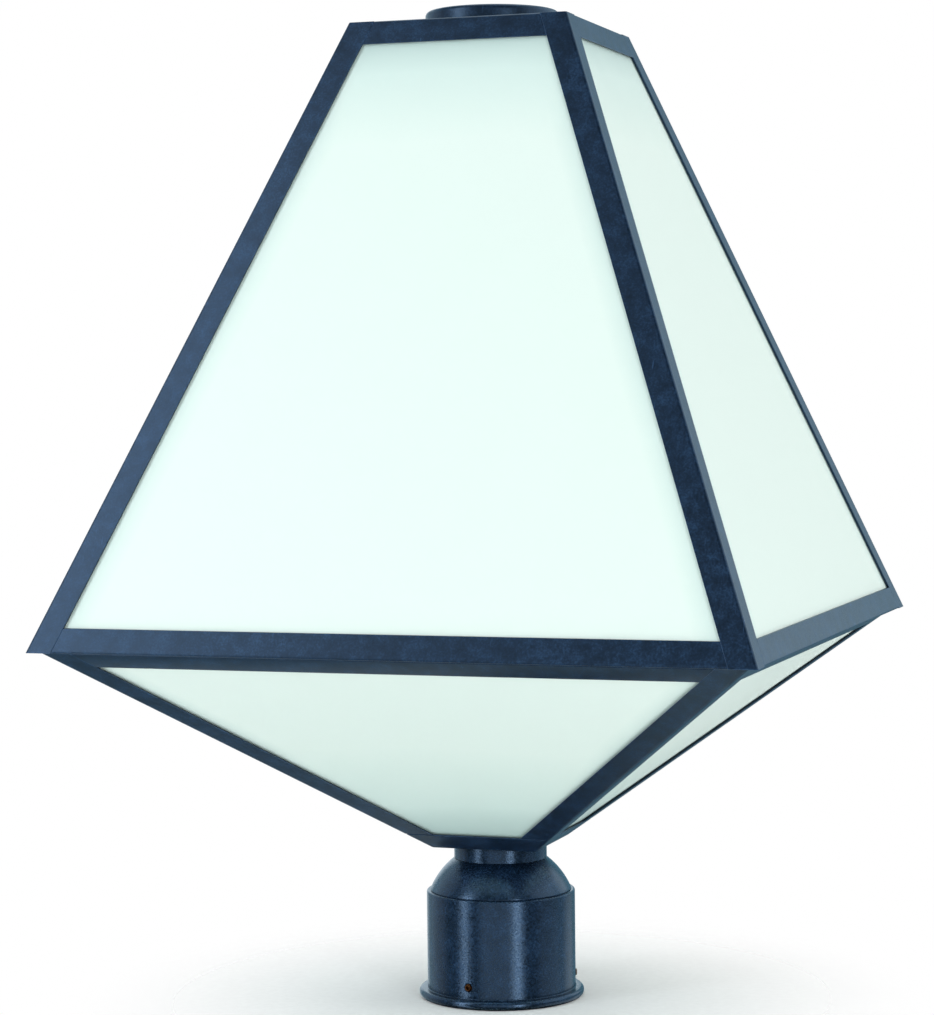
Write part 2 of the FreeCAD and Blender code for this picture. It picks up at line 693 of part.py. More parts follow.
def make_stack():
    """The nipple that clamps fitter, neck and bowl together, its nuts and the base plate."""
    half = bowl_half("base_plate_level") + " - bowl_wall - plate_gap"
    plate = square_plate("base_plate", half, "base_plate_thickness", "nipple_hole")
    keep(plate, "base_plate", z="base_plate_level")
    keep(ring("nipple", "nipple_radius", "nipple_bore", "nipple_low", "nipple_high"), "nipple")
    nuts = []
    levels = ("web_level - hex_height", "base_plate_top", "bracket_level - hex_height", "bracket_top")
    for place, level in enumerate(levels):
        blank = doc.addObject("Part::Prism", "nut_blank_%d" % place)
        blank.Polygon = HEXAGON
        blank.setExpression("Circumradius", bound("hex_radius"))
        blank.setExpression("Height", bound("hex_height"))
        move(blank, z=level)
        bore = doc.addObject("Part::Cylinder", "nut_bore_%d" % place)
        bore.setExpression("Radius", bound("nipple_radius + thread_gap"))
        bore.setExpression("Height", bound("hex_height + 2 * " + OVER))
        move(bore, z=level + " - " + OVER)
        nuts.append(cut("nut_%d" % place, blank, bore))
    group("nipple_nuts", nuts)


def make_bracket():
    """The flat three-armed bracket that carries the lampholders."""
    body = new_body("lamp_bracket")
    hub = new_sketch(body, "XY_Plane", "bracket_hub_outline")
    circle(hub, "0", "0", "bracket_hub")
    pad(body, hub, "bracket_middle", "bracket_sheet")
    arm = new_sketch(body, "XY_Plane", "bracket_arm_outline")
    outline(arm, [
        ("-bracket_arm / 2", "-lamp_circle"),
        ("bracket_arm / 2", "-lamp_circle"),
        ("bracket_arm / 2", "-bracket_hub / 2"),
        ("-bracket_arm / 2", "-bracket_hub / 2"),
    ])
    arm_pad = pad(body, arm, "bracket_one_arm", "bracket_sheet")
    end = new_sketch(body, "XY_Plane", "bracket_end_outline")
    circle(end, "0", "-lamp_circle", "bracket_end")
    end_pad = pad(body, end, "bracket_one_end", "bracket_sheet")
    pattern = body.newObject("PartDesign::PolarPattern", "bracket_arms")
    pattern.Originals = [arm_pad, end_pad]
    pattern.Axis = (origin_part(body, "Z_Axis"), [""])
    pattern.Angle = FULL_TURN
    pattern.Occurrences = COUNT
    body.Tip = pattern
    doc.recompute()
    hole = new_sketch(body, "XY_Plane", "bracket_hole_outline")
    circle(hole, "0", "0", "nipple_hole")
    pocket = body.newObject("PartDesign::Pocket", "bracket_hole")
    pocket.Profile = hole
    pocket.Type = "ThroughAll"
    pocket.Reversed = True
    keep(body, "lamp_bracket", LAMP_TURN, z="bracket_level")


def make_lamps():
    """Three lampholders with their screw shells, and the lamps that screw into them."""
    for place in range(COUNT):
        mark = "_%d" % (place + 1)
        angle = math.radians(LAMP_TURN + place * THIRD)
        spot = ("lamp_circle * %.6f" % math.sin(angle), "lamp_circle * %.6f" % -math.cos(angle))
        holder = revolved("lampholder" + mark, [
            ("0", "0"),
            ("holder_radius", "0"),
            ("holder_radius", "holder_height - holder_rim_height"),
            ("holder_rim", "holder_height - holder_rim_height"),
            ("holder_rim", "holder_height"),
            ("socket_radius", "holder_height"),
            ("socket_radius", "holder_floor"),
            ("0", "holder_floor"),
        ])
        keep(holder, "lampholder" + mark, 0, *spot, "bracket_top")
        shell = revolved("screw_shell" + mark, [
            ("shell_hole", "shell_floor"),
            ("shell_radius", "shell_floor"),
            ("shell_radius", "holder_height"),
            ("shell_radius - shell_wall", "holder_height"),
            ("shell_radius - shell_wall", "shell_floor + shell_wall"),
            ("shell_hole", "shell_floor + shell_wall"),
        ])
        keep(shell, "screw_shell" + mark, 0, *spot, "bracket_top")
        base = revolved("lamp_base" + mark, [
            ("0", "0"),
            ("lamp_tip_radius", "0"),
            ("lamp_tip_radius", "lamp_tip"),
            ("lamp_base_radius", "lamp_cone"),
            ("lamp_base_radius", "lamp_base_height"),
            ("0", "lamp_base_height"),
        ])
        keep(base, "lamp_base" + mark, 0, *spot, "lamp_foot")
        glass = revolved("lamp_glass" + mark, [
            ("lamp_neck_radius - lamp_wall", "lamp_base_height"),
            ("lamp_neck_radius", "lamp_base_height", "lamp_low_curve"),
            ("lamp_radius", "lamp_middle", "lamp_high_curve"),
            ("lamp_point_radius", "lamp_height"),
            ("0", "lamp_height"),
            ("0", "lamp_height - 2 * lamp_wall"),
            ("lamp_point_radius", "lamp_height - 2 * lamp_wall", "-lamp_high_curve"),
            ("lamp_radius - lamp_wall", "lamp_middle", "-lamp_low_curve"),
        ])
        keep(glass, "lamp_glass" + mark, 0, *spot, "lamp_foot")


# ---------------------------------------------------------------- build, check and write

make_cage()
make_bowl()
make_panes()
make_clips()
make_roof()
make_rod()
make_fitter()
make_set_screws()
make_stack()
make_bracket()
make_lamps()
doc.recompute()

for item in doc.Objects:
    if "Invalid" in item.State or "Error" in item.State:
        raise RuntimeError("failed: " + item.Label + " " + str(item.State))
for piece in nodes:
    if piece.Shape.isNull() or not piece.Shape.isValid():
        raise RuntimeError("bad shape: " + piece.Label)

os.makedirs("parts", exist_ok=True)
for piece in nodes:
    piece.Shape.exportStep("parts/" + piece.Label + ".step")
print(len(nodes), "nodes")
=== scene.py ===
import json
import math

import bpy
from mathutils import Matrix, Vector

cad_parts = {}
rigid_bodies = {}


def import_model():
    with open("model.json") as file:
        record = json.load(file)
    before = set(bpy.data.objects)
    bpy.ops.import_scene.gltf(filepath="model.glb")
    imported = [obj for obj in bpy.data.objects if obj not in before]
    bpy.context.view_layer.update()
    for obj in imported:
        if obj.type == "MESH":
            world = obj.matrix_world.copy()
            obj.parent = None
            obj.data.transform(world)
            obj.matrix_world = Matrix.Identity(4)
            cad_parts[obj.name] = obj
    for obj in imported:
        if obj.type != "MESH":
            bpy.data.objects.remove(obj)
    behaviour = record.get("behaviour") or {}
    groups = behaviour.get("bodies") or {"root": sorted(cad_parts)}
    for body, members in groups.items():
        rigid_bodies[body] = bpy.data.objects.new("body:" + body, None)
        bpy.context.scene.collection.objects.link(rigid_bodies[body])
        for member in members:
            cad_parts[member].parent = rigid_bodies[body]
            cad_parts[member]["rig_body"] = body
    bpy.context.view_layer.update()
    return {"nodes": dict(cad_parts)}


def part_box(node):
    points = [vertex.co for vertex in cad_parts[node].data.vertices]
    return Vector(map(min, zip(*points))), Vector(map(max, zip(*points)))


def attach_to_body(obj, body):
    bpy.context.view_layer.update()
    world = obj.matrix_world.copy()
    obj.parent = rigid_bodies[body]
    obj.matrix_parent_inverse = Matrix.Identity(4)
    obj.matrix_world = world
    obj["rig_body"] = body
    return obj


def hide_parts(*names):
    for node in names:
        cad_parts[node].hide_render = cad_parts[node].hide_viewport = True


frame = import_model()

# Post top lantern: the finish of a tapering cage of folded steel and opal glass over a
# shallow bowl of the same, on a cast fitter for a round post. Metres, Z up, front is -Y.

MM = 0.001
SIDES = ("front", "right", "back", "left")
CORNERS = ("front_left", "front_right", "back_right", "back_left")
QUARTER = math.pi / 2
ROUND = 96              # sides of a large turned piece
SMALL_ROUND = 48        # sides of a small turned piece
CAP_SIDES = 144         # sides of the cap
BARREL_SIDES = 128      # sides of the barrel and the dome
HOLDER_SIDES = 64       # sides of a lampholder
STEM_SIDES = 32         # sides of a lamp's glass stem
NEAR = 0.001 * MM       # two places this close are one

# ---------------------------------------------------------------- sizes of the real object

SHEET = 1.4 * MM        # thickness of the folded steel
CAGE_FLANGE = 13 * MM   # depth of the level leg of a cage rail
BOWL_FLANGE = 16 * MM   # depth of the level leg of a bowl rail
TAB_WIDTH = 30 * MM     # width of a tab that centres the cage
TAB_GAP = 1.2 * MM      # gap between that tab and the cage's flange
TAB_FOLD = 0.9 * MM     # rounding of its upper edge
WELD_PLACE = 0.9        # share of the steel's thickness that an end plate sits in by
WELD_GAP = 0.1 * MM     # gap between an end plate and the leg's edge
GLASS = 3 * MM          # thickness of a pane
PANE_GAP = 0.3 * MM     # gap between a pane and the steel
PANE_CORNER_GAP = 0.6 * MM   # gap between the panes at a corner
FOLD = 1.3 * MM         # outer radius of a fold in the steel
EDGE = 0.22 * MM        # broken edge of sheet and castings
EDGES = {               # broken edges of single pieces
    "weld_plate": 0.1 * MM, "cap_nut": 0.15 * MM, "rod": 0.1 * MM, "yoke": 0.2 * MM, "barrel": 0.15 * MM,
    "neck": 0.5 * MM, "set_screw": 0.06 * MM, "nipple": 0.25 * MM, "lock_nut": 0.12 * MM,
    "lampholder": 0.4 * MM, "lamp_base": 0.2 * MM, "stem": 0.3 * MM}
EDGE_HIGHLIGHT_REACH = 0.5 * MM    # how far from an edge the paint is painted paler blue, a painted highlight
PAINTED_SHADE_DISTANCE = 14 * MM       # how far from a joint or recess the paint is darkened, as painted shade
CLOUD_SHARE = 0.4       # share of broad clouds in the paint's fine speckle
GROUND = 0.35 * MM      # ground edge of a pane
PANE_CUTS = 30          # cuts across a pane, for its tone
SHADE_REACH = 22 * MM   # how far the steel's shade reaches onto a pane from its sloping edges
NARROW_SHADE = {"upper": 0.32, "lower": 0.22}    # and how much slower it fades at the narrow end
RING_HOLE = 18 * MM     # radius of the opening in the base ring and neck

CAP_WALL = 1.6 * MM     # thickness of the cap
CAP_ROUND = 2.5 * MM    # rounding of the cap's upper edge
INNER_ROUND = 0.9 * MM  # rounding inside it
NUT_SHANK = 6.2 * MM    # radius of the cap nut's shank
NUT_BEVEL = 1.2 * MM    # bevel on the cap nut's head
NUT_CROWN = 1.3         # radius of that bevel's curve, in bevels
NUT_ROOF = 0.7 * MM     # height of the nut's bore above the cap
SLOT_WIDTH = 1.8 * MM   # width of the slot in the cap nut
SLOT_DEPTH = 1.2 * MM   # depth of the slot in the cap nut
TURNING = 0.08 * MM     # radial clearance of what turns or slides
ROD = 3.175 * MM        # radius of the threaded centre rod
ROD_CORE = 2.7 * MM     # radius at the root of its thread
ROD_TIP = 2.6 * MM      # radius of the rod's riveted tip
ROD_COLLAR = 3 * MM     # height of the rod's collar
ROD_THREAD = 42 * MM    # length of its thread
ROD_PITCH = 1.27 * MM   # pitch of a quarter inch coarse thread
ROD_RUNOUT = 0.5 * MM   # taper where the thread starts
ROD_POINT = 0.4 * MM    # bevel of the rod's upper end
ROD_PLAIN = 0.6 * MM    # plain length above the thread
YOKE_SHEET = 2 * MM     # thickness of the yoke's strip
YOKE_FOLD = 0.8 * MM    # inner radius of its bends
HOLE_GAP = 0.05 * MM    # clearance of a bore round a rod

RIDGE_ROOT = 0.1 * MM   # how deep a thread's ridge is rooted in its core
RIDGE_WIDTH = 0.8       # width of a ridge at its root, in pitches
SHARP_CREST = 0.14      # width of a cut thread's crest, as a share of its root
ROLLED_CREST = 0.3      # and of a rolled one's
CREST_GAP = 0.02 * MM   # how far a crest stays inside its solid

POST_BORE = 38.4 * MM   # radius of the bore for the post
POST_DEPTH = 48 * MM    # depth of that bore
POST_STOP = 34 * MM     # inner radius of the post's stop
BARREL = 40.8 * MM      # radius of the fitter's barrel
BARREL_ROUND = 0.9 * MM    # rounding of its upper edge
BARREL_WEB = 3 * MM     # thickness of its top
FOOT_EDGE = 44 * MM     # radius where the foot's round edge starts
FOOT_HEIGHT = 4.6 * MM  # height of the foot flange
FOOT_ROUND = 2.6 * MM   # rounding of its edge
FOOT_FILLET = 0.5 * MM  # fillet between the foot and the barrel
DOME_BAND = 0.6 * MM    # height of the dome's upright edge
DOME_ROUND = 42.1 * MM  # radius of the dome's curve
DOME_WALL = 2 * MM      # thickness of the dome

SCREWS = 3
SCREW_TURN = math.radians(-8)   # the set screws' turn from the front
THIRD = math.radians(120)
SCREW_LEVEL = 11 * MM   # height of the set screws
SCREW = 2.15 * MM       # radius of a set screw
SCREW_RIDGE = 0.28 * MM    # height of its thread
SCREW_HOLE = 2.2 * MM   # radius of its hole
SCREW_HOLE_START = POST_BORE - 2 * MM    # where the hole's cutter starts
SCREW_SINK = 0.35 * MM  # countersink of that hole
SCREW_START = 38.6 * MM    # distance of its tip from the axis
SCREW_LENGTH = 3 * MM
SCREW_CUP = 1 * MM      # radius of the cup in its tip
SCREW_CUP_DEPTH = 0.35 * MM
SCREW_POINT = 0.4 * MM  # bevel of its tip
SCREW_BEVEL = 0.3 * MM  # bevel of its outer end
SCREW_PLAIN = (0.2 * MM, 0.1 * MM)    # plain length at its tip and at its outer end
SCREW_SOCKET = 1.2 * MM    # radius of its hexagon socket
SCREW_SOCKET_DEPTH = 1.6 * MM
SCREW_PITCH = 0.7 * MM
HEX_SIDES = 6

NIPPLE = 4.8 * MM       # outer radius of the threaded nipple
NIPPLE_BORE = 3.4 * MM  # radius of the wires' way
NIPPLE_GAP = 0.1 * MM   # clearance of the nipple in the plates
NIPPLE_PITCH = 0.94 * MM   # pitch of a lamp pipe's thread
NIPPLE_RIDGE = 0.4 * MM    # height of that thread
NIPPLE_PLAIN = 0.3 * MM    # plain length at each end
HEX = 7.5 * MM          # radius of the nuts over their corners
HEX_HEIGHT = 4 * MM     # height of a nut
HEX_CHAMFER = 0.5       # chamfer of its corners, as a share of their depth
NUT_TURN = math.radians(17)    # turn from one nut to the next

LAMPS = 3
HOLDER = 12 * MM        # radius of a lampholder
HOLDER_RIM = 13.2 * MM  # radius of its rim
HOLDER_RIM_HEIGHT = 6 * MM
HOLDER_FLOOR = 17 * MM  # height of the socket's floor
HOLDER_GROOVES = (0.3, 0.5, 0.7)    # places of the grooves, as shares of the height below the rim
GROOVE_HALF = 0.9 * MM  # half the width of a groove
GROOVE_DEPTH = 0.6 * MM
SHELL = 6.65 * MM       # outer radius of the screw shell
SHELL_HOLE = 3.2 * MM   # radius of the hole in the shell's floor
SHELL_WAVE = 1.1 * MM   # half the pitch of the shell's pressed thread
SHELL_DENT = 0.24 * MM  # depth of that thread
SHELL_WALL = 0.34 * MM  # thickness of the shell
SHELL_LIP = 0.5 * MM    # width of its rim
SHELL_FLOOR = 0.6 * MM  # thickness of its floor
SHELL_GAP = 0.1 * MM    # clearance of the screw shell in its holder
LAMP_BASE = 5.97 * MM   # radius of the lamp's screw base
LAMP_BASE_HEIGHT = 24 * MM
LAMP_PITCH = 2.2 * MM   # pitch of its rolled thread
LAMP_RIDGE = 0.5 * MM   # height of that thread
LAMP_TIP = 2.4 * MM     # radius of the end contact
LAMP_TIP_HEIGHT = 1.8 * MM
LAMP_TIP_BEVEL = 0.5 * MM
LAMP_CONE = 3.5 * MM    # height of the base's cone above its tip
LAMP_SKIRT = 3 * MM     # height of the plain skirt below the glass
LAMP_FLARE = 1 * MM     # height over which it widens
LAMP_PLAIN = (0.3 * MM, 0.4 * MM)    # plain length below and above the thread
LAMP_NECK = 6.3 * MM    # radius of the lamp's neck
LAMP = 17.5 * MM        # largest radius of the lamp
LAMP_MIDDLE = 56 * MM   # height of its widest place
LAMP_HEIGHT = 98 * MM   # height of the whole lamp
LAMP_POINT = 1.5 * MM   # radius of the flat at its point
LAMP_WALL = 0.9 * MM    # thickness of its glass
LAMP_LOW_CURVE = 48 * MM   # curve below the widest place
LAMP_HIGH_CURVE = 62 * MM  # curve above it
STEM_HEIGHT = 19 * MM   # height of the glass stem in it
STEM_CROWN = 0.5 * MM   # height of its crown
STEM = ((3.4 * MM, 0), (2.2 * MM, 8 * MM), (1.5 * MM, 16 * MM), (2.1 * MM, STEM_HEIGHT))    # its rings

IMAGE_WIDTH, IMAGE_HEIGHT = 934, 1015    # the photograph's frame, in pixels
VIEW_TURN = math.radians(18.36)          # the camera's turn from the front
VIEW_TILT = math.radians(2.45)           # and its tilt above the middle
VIEW_ROLL = math.radians(-0.56)
VIEW_DISTANCE = 1.550
VIEW_TARGET = Vector((0, 0, 0.2709))
VIEW_FOCUS = 2827                        # focal length in pixels
VIEW_CENTRE = (497.1, 503.2)             # where its axis meets the picture
SENSOR = 36
NEAR_CLIP = 0.01

SOFT_BOX_DISTANCE = 1.5
SOFT_BOXES = (          # name, turn and tilt in degrees, width and height, watts, tint
    ("front_left_strip", -40, 4, (0.13, 0.7), 3.2, "#f0f8ff"),
    ("front_right_strip", 43, 4, (0.13, 0.7), 3.8, "#f0f8ff"),
    ("front_left_broad", -42, 30, (0.4, 0.9), 5.4, "#eef6ff"),
    ("front_low_fill", 16, 2, (1.8, 0.35), 2.5, "#ffffff"),
    ("left_box", -100, 10, (1.3, 1.5), 2.6, "#ffffff"),
    ("right_box", 100, 24, (1.3, 1.3), 4.7, "#ffffff"),
    ("back_left_box", -150, 15, (0.9, 1.5), 4.0, "#ffffff"),
    ("back_right_box", 146, 22, (0.8, 1.3), 2.6, "#ffffff"),
    ("overhead_box", 180, 74, (1.2, 1.2), 4.5, "#ffffff"))
SKY = 0.5               # the backdrop's light on the lantern
MIRRORED_SKY = (0.1, 0.55)    # the backdrop in gloss, on the camera's side and behind
SKY_TURN = (-0.2, 0.6)  # where it changes, as a share of the way back
FLOOR_REACH = 1.4
FLOOR_DROP = 0.2 * MM   # gap below the lantern
FLOOR_FADE = (0.06, 0.24)     # where the floor starts to melt into the backdrop, and where it has
FLOOR_GRAIN = 4 * MM
FLOOR_MIRROR = 0.9      # share of the floor that gloss sees as polished
FLOOR_POLISH = 0.08

FLAT = math.radians(40)    # a bevelled edge turns by more than this
SMOOTH = math.radians(35)  # a smooth surface turns by less than this


# ---------------------------------------------------------------- where the frame's pieces are

def low(node):
    """The lowest corner of a node."""
    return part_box(node)[0]


def high(node):
    """The highest corner of a node."""
    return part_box(node)[1]


def span(node):
    """The lowest and the highest level of a node."""
    return low(node).z, high(node).z


def between(z, z_one, half_one, z_two, half_two):
    """Half the width of a sloping side at a level, from its half width at two levels."""
    return half_one + (half_two - half_one) * (z - z_one) / (z_two - z_one)


def cage_half(z):
    """Half the width of the cage at a level."""
    return between(z, low("cage_waist_rail_front").z, -low("cage_waist_rail_front").y,
                   low("cage_top_rail_front").z, -low("cage_top_rail_front").y)


def bowl_half(z):
    """Half the width of the bowl at a level."""
    return between(z, high("bowl_base_ring").z, high("bowl_base_ring").x,
                   high("bowl_corner_front_left").z, -low("bowl_corner_front_left").x)


def slope(half):
    """How much longer a sloping side is than it is high."""
    return math.hypot(1, half(1) - half(0))


# ---------------------------------------------------------------- modelling

def deselect():
    """Leave nothing selected."""
    bpy.ops.object.select_all(action="DESELECT")


def activate(piece):
    """Select one piece alone and make it the active one."""
    deselect()
    piece.select_set(True)
    bpy.context.view_layer.objects.active = piece


def settle(piece, move=(0, 0, 0), turn=(0, 0, 0)):
    """Turn and move a piece's whole mesh, and leave its object at the origin."""
    activate(piece)
    piece.location = move
    piece.rotation_euler = turn
    bpy.ops.object.transform_apply(location=True, rotation=True, scale=True)


def named(name):
    """Name the piece that was just added, with its place in its mesh."""
    piece = bpy.context.object
    piece.name = name
    piece.data.name = name
    bpy.ops.object.transform_apply(location=True, rotation=True, scale=True)
    return piece


def block(name, lowest, highest):
    """A block between two corners, ready to be shaped."""
    deselect()
    middle = (Vector(lowest) + Vector(highest)) / 2
    bpy.ops.mesh.primitive_cube_add(size=1, location=middle)
    bpy.context.object.scale = Vector(highest) - Vector(lowest)
    return named(name)


def drum(name, radius, lowest, highest, sides=SMALL_ROUND):
    """An upright cylinder between two levels, ready to be shaped."""
    deselect()
    bpy.ops.mesh.primitive_cylinder_add(
        vertices=sides, radius=radius, depth=highest - lowest, location=(0, 0, (lowest + highest) / 2))
    return named(name)


def everything(item):
    """The test that all faces, edges and vertices pass."""
    return True


def choose(piece, kind, test):
    """Select the faces, edges or vertices of a piece that pass a test, and open it for editing."""
    activate(piece)
    bpy.context.tool_settings.mesh_select_mode = [kind == each for each in ("VERT", "EDGE", "FACE")]
    mesh = piece.data
    for items in (mesh.vertices, mesh.edges, mesh.polygons):
        items.foreach_set("select", [False] * len(items))
    mode = {"FACE": mesh.polygons, "EDGE": mesh.edges, "VERT": mesh.vertices}
    for item in mode[kind]:
        item.select = bool(test(item))
    bpy.ops.object.mode_set(mode="EDIT")


def close_edit():
    """Leave edit mode."""
    bpy.ops.object.mode_set(mode="OBJECT")


def edit(piece, kind, test, operator, **settings):
    """Use one edit mode operator on what passes a test."""
    choose(piece, kind, test)
    operator(**settings)
    close_edit()


def extrude(piece, test, move):
    """Pull the faces that pass a test out by a distance."""
    edit(piece, "FACE", test, bpy.ops.mesh.extrude_region_move, TRANSFORM_OT_translate={"value": move})


def finish_mesh(piece, bevel=EDGE, segments=2):
    """Join doubled points, turn the faces outwards, break the edges and keep flat faces flat to light."""
    activate(piece)
    bpy.ops.object.mode_set(mode="EDIT")
    bpy.ops.mesh.select_all(action="SELECT")
    bpy.ops.mesh.remove_doubles(threshold=NEAR)
    bpy.ops.mesh.normals_make_consistent(inside=False)
    close_edit()
    if bevel:
        apply_modifier(piece, "BEVEL", width=bevel, segments=segments, limit_method="ANGLE",
                       angle_limit=FLAT, harden_normals=False)
    bpy.ops.object.shade_smooth_by_angle(angle=SMOOTH)
    apply_modifier(piece, "WEIGHTED_NORMAL", keep_sharp=True)
    return piece


def apply_modifier(piece, kind, **settings):
    """Add one modifier with its settings and apply it."""
    activate(piece)
    modifier = piece.modifiers.new(kind.lower(), kind)
    for setting, value in settings.items():
        setattr(modifier, setting, value)
    bpy.ops.object.modifier_apply(modifier=modifier.name)


def carve(piece, tool, operation="DIFFERENCE"):
    """Cut a piece with another one, which is used up."""
    apply_modifier(piece, "BOOLEAN", object=tool, operation=operation, solver="EXACT")
    bpy.data.objects.remove(tool)


def joined(pieces):
    """Several meshes made one piece, under the first one's name."""
    deselect()
    for piece in pieces:
        piece.select_set(True)
    bpy.context.view_layer.objects.active = pieces[0]
    bpy.ops.object.join()
    return pieces[0]


def copied(piece, name, turn=0.0, move=(0, 0, 0)):
    """A copy with its own mesh, turned about the lantern's axis and then moved."""
    activate(piece)
    bpy.ops.object.duplicate()
    twin = bpy.context.object
    twin.location = move
    twin.rotation_euler.z = turn
    return named(name)


def mesh_points(mesh, edge_or_face):
    """The points of an edge or a face."""
    return [mesh.vertices[index].co for index in edge_or_face.vertices]


def lathe(name, profile, sides=ROUND, rounding=EDGE, segments=2):
    """A turned piece from (radius, level) points, closed at the axis or back on itself."""
    deselect()
    rings = [point for point in profile if point[0] > 0]
    solid_ends = [ring for end, ring in ((profile[0], rings[0]), (profile[-1], rings[-1])) if end[0] == 0]
    radius, level = rings[0]
    bpy.ops.mesh.primitive_circle_add(vertices=sides, radius=radius, location=(0, 0, level))
    piece = named(name)
    choose(piece, "EDGE", everything)
    for next_radius, next_level in rings[1:]:
        bpy.ops.mesh.extrude_region_move(TRANSFORM_OT_translate={"value": (0, 0, next_level - level)})
        scale = next_radius / radius
        bpy.ops.transform.resize(value=(scale, scale, 1), center_override=(0, 0, next_level))
        radius, level = next_radius, next_level
    close_edit()
    if not solid_ends:
        edit(piece, "EDGE", lambda edge: on_ring(piece, edge, rings[0]) or on_ring(piece, edge, rings[-1]),
             bpy.ops.mesh.bridge_edge_loops)
    for ring in solid_ends:
        edit(piece, "EDGE", lambda edge: on_ring(piece, edge, ring), bpy.ops.mesh.edge_face_add)
    return finish_mesh(piece, rounding, segments)


def on_ring(piece, edge, ring):
    """Whether an edge lies on a ring of a turned piece."""
    radius, level = ring
    return all(abs(math.hypot(point.x, point.y) - radius) < 2 * NEAR
               and abs(point.z - level) < 2 * NEAR for point in mesh_points(piece.data, edge))


def arc(centre, radius, start, end, steps):
    """Points of a profile on an arc, with its angles in degrees from the outward direction."""
    points = []
    for step in range(steps + 1):
        angle = math.radians(start + (end - start) * step / steps)
        points.append((centre[0] + radius * math.cos(angle), centre[1] + radius * math.sin(angle)))
    return points


def bulge(start, end, radius, steps):
    """Points of a profile on the outward bulging arc between two points."""
    a, b = Vector(start), Vector(end)
    middle, way = (a + b) / 2, b - a
    out = Vector((way.y, -way.x)).normalized()
    if out.x < 0:
        out = -out
    reach = math.sqrt(radius ** 2 - (way.length / 2) ** 2)
    centre = middle - out * reach
    first = math.degrees(math.atan2(a.y - centre.y, a.x - centre.x))
    last = math.degrees(math.atan2(b.y - centre.y, b.x - centre.x))
    return arc(tuple(centre), radius, first, last, steps)


def thread(name, core, crest, pitch, lowest, highest, sides=24, crest_share=SHARP_CREST):
    """The ridge of a screw thread, wound round a core, with both its ends closed."""
    deselect()
    middle = lowest + pitch / 2
    bpy.ops.mesh.primitive_plane_add(size=1, location=((core + crest) / 2, 0, middle))
    ridge = bpy.context.object
    ridge.rotation_euler.x = QUARTER
    ridge.scale = (crest - core, pitch * RIDGE_WIDTH, 1)
    named(name)
    edit(ridge, "VERT", lambda point: point.co.x > (core + crest) / 2, bpy.ops.transform.resize,
         value=(1, 1, crest_share), center_override=(crest, 0, middle))
    edit(ridge, "FACE", everything, bpy.ops.mesh.delete, type="ONLY_FACE")
    apply_modifier(ridge, "SCREW", axis="Z", screw_offset=pitch, steps=sides, render_steps=sides,
                   iterations=int((highest - lowest) / pitch) - 1, use_normal_calculate=True)
    edit(ridge, "EDGE", everything, bpy.ops.mesh.fill_holes, sides=4)
    return finish_mesh(ridge, 0)


def attach(piece, body, material):
    """Give a piece its finish, and let it ride with a body."""
    piece.data.materials.clear()
    piece.data.materials.append(material)
    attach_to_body(piece, body)


def dress(piece, node, material):
    """Give a piece its finish, let it ride with the node's body and stand for the node."""
    attach(piece, frame["nodes"][node]["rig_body"], material)
    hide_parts(node)


def set_round(model, piece_stem, node_stem, places, material):
    """Copy a model to the four sides or corners, each copy for its node, and drop the model."""
    for count, place in enumerate(places):
        twin = copied(model, piece_stem + place, count * QUARTER)
        dress(twin, node_stem + place, material)
    bpy.data.objects.remove(model)


def repaint(node, material):
    """Give a node whose shape is right its finish."""
    target = frame["nodes"][node]
    if not target.data.materials:
        target.data.materials.append(material)
    for slot in target.material_slots:
        slot.material = material


# ---------------------------------------------------------------- materials

def colour(code):
    """An sRGB hex colour as linear red, green, blue and alpha."""
    parts = [int(code[place:place + 2], 16) / 255 for place in (1, 3, 5)]
    return [part / 12.92 if part <= 0.04045 else ((part + 0.055) / 1.055) ** 2.4
            for part in parts] + [1.0]


def add(tree, kind, inputs=None, **settings):
    """Add a shader node with its settings; an input is a value or another node's output."""
    made = tree.nodes.new("ShaderNode" + kind)
    for setting, value in settings.items():
        setattr(made, setting, value)
    for socket, value in (inputs or {}).items():
        if isinstance(value, bpy.types.NodeSocket):
            tree.links.new(value, made.inputs[socket])
        else:
            made.inputs[socket].default_value = value
    return made


def new_material(name):
    """An empty node material, its tree and the place of each point on the piece."""
    material = bpy.data.materials.new(name)
    material.use_nodes = True
    tree = material.node_tree
    tree.nodes.clear()
    return material, tree, add(tree, "TexCoord").outputs["Object"]


def put_out(tree, shader):
    """Send a shader to the material's surface."""
    add(tree, "OutputMaterial", {"Surface": shader.outputs[0]})


def put_skin(tree, height, strength, depth, look):
    """Send out a surface with its look and a relief of a depth."""
    relief = add(tree, "Bump", {"Height": height, "Strength": strength, "Distance": depth})
    put_out(tree, add(tree, "BsdfPrincipled", {"Normal": relief.outputs[0], **look}))


def set_ramp(ramp, stops):
    """Give a colour ramp its (place, hex colour) stops, and return its colour."""
    elements = ramp.color_ramp.elements
    while len(elements) > 1:
        elements.remove(elements[0])
    elements[0].position, elements[0].color = stops[0][0], colour(stops[0][1])
    for place, code in stops[1:]:
        elements.new(place).color = colour(code)
    return ramp.outputs["Color"]


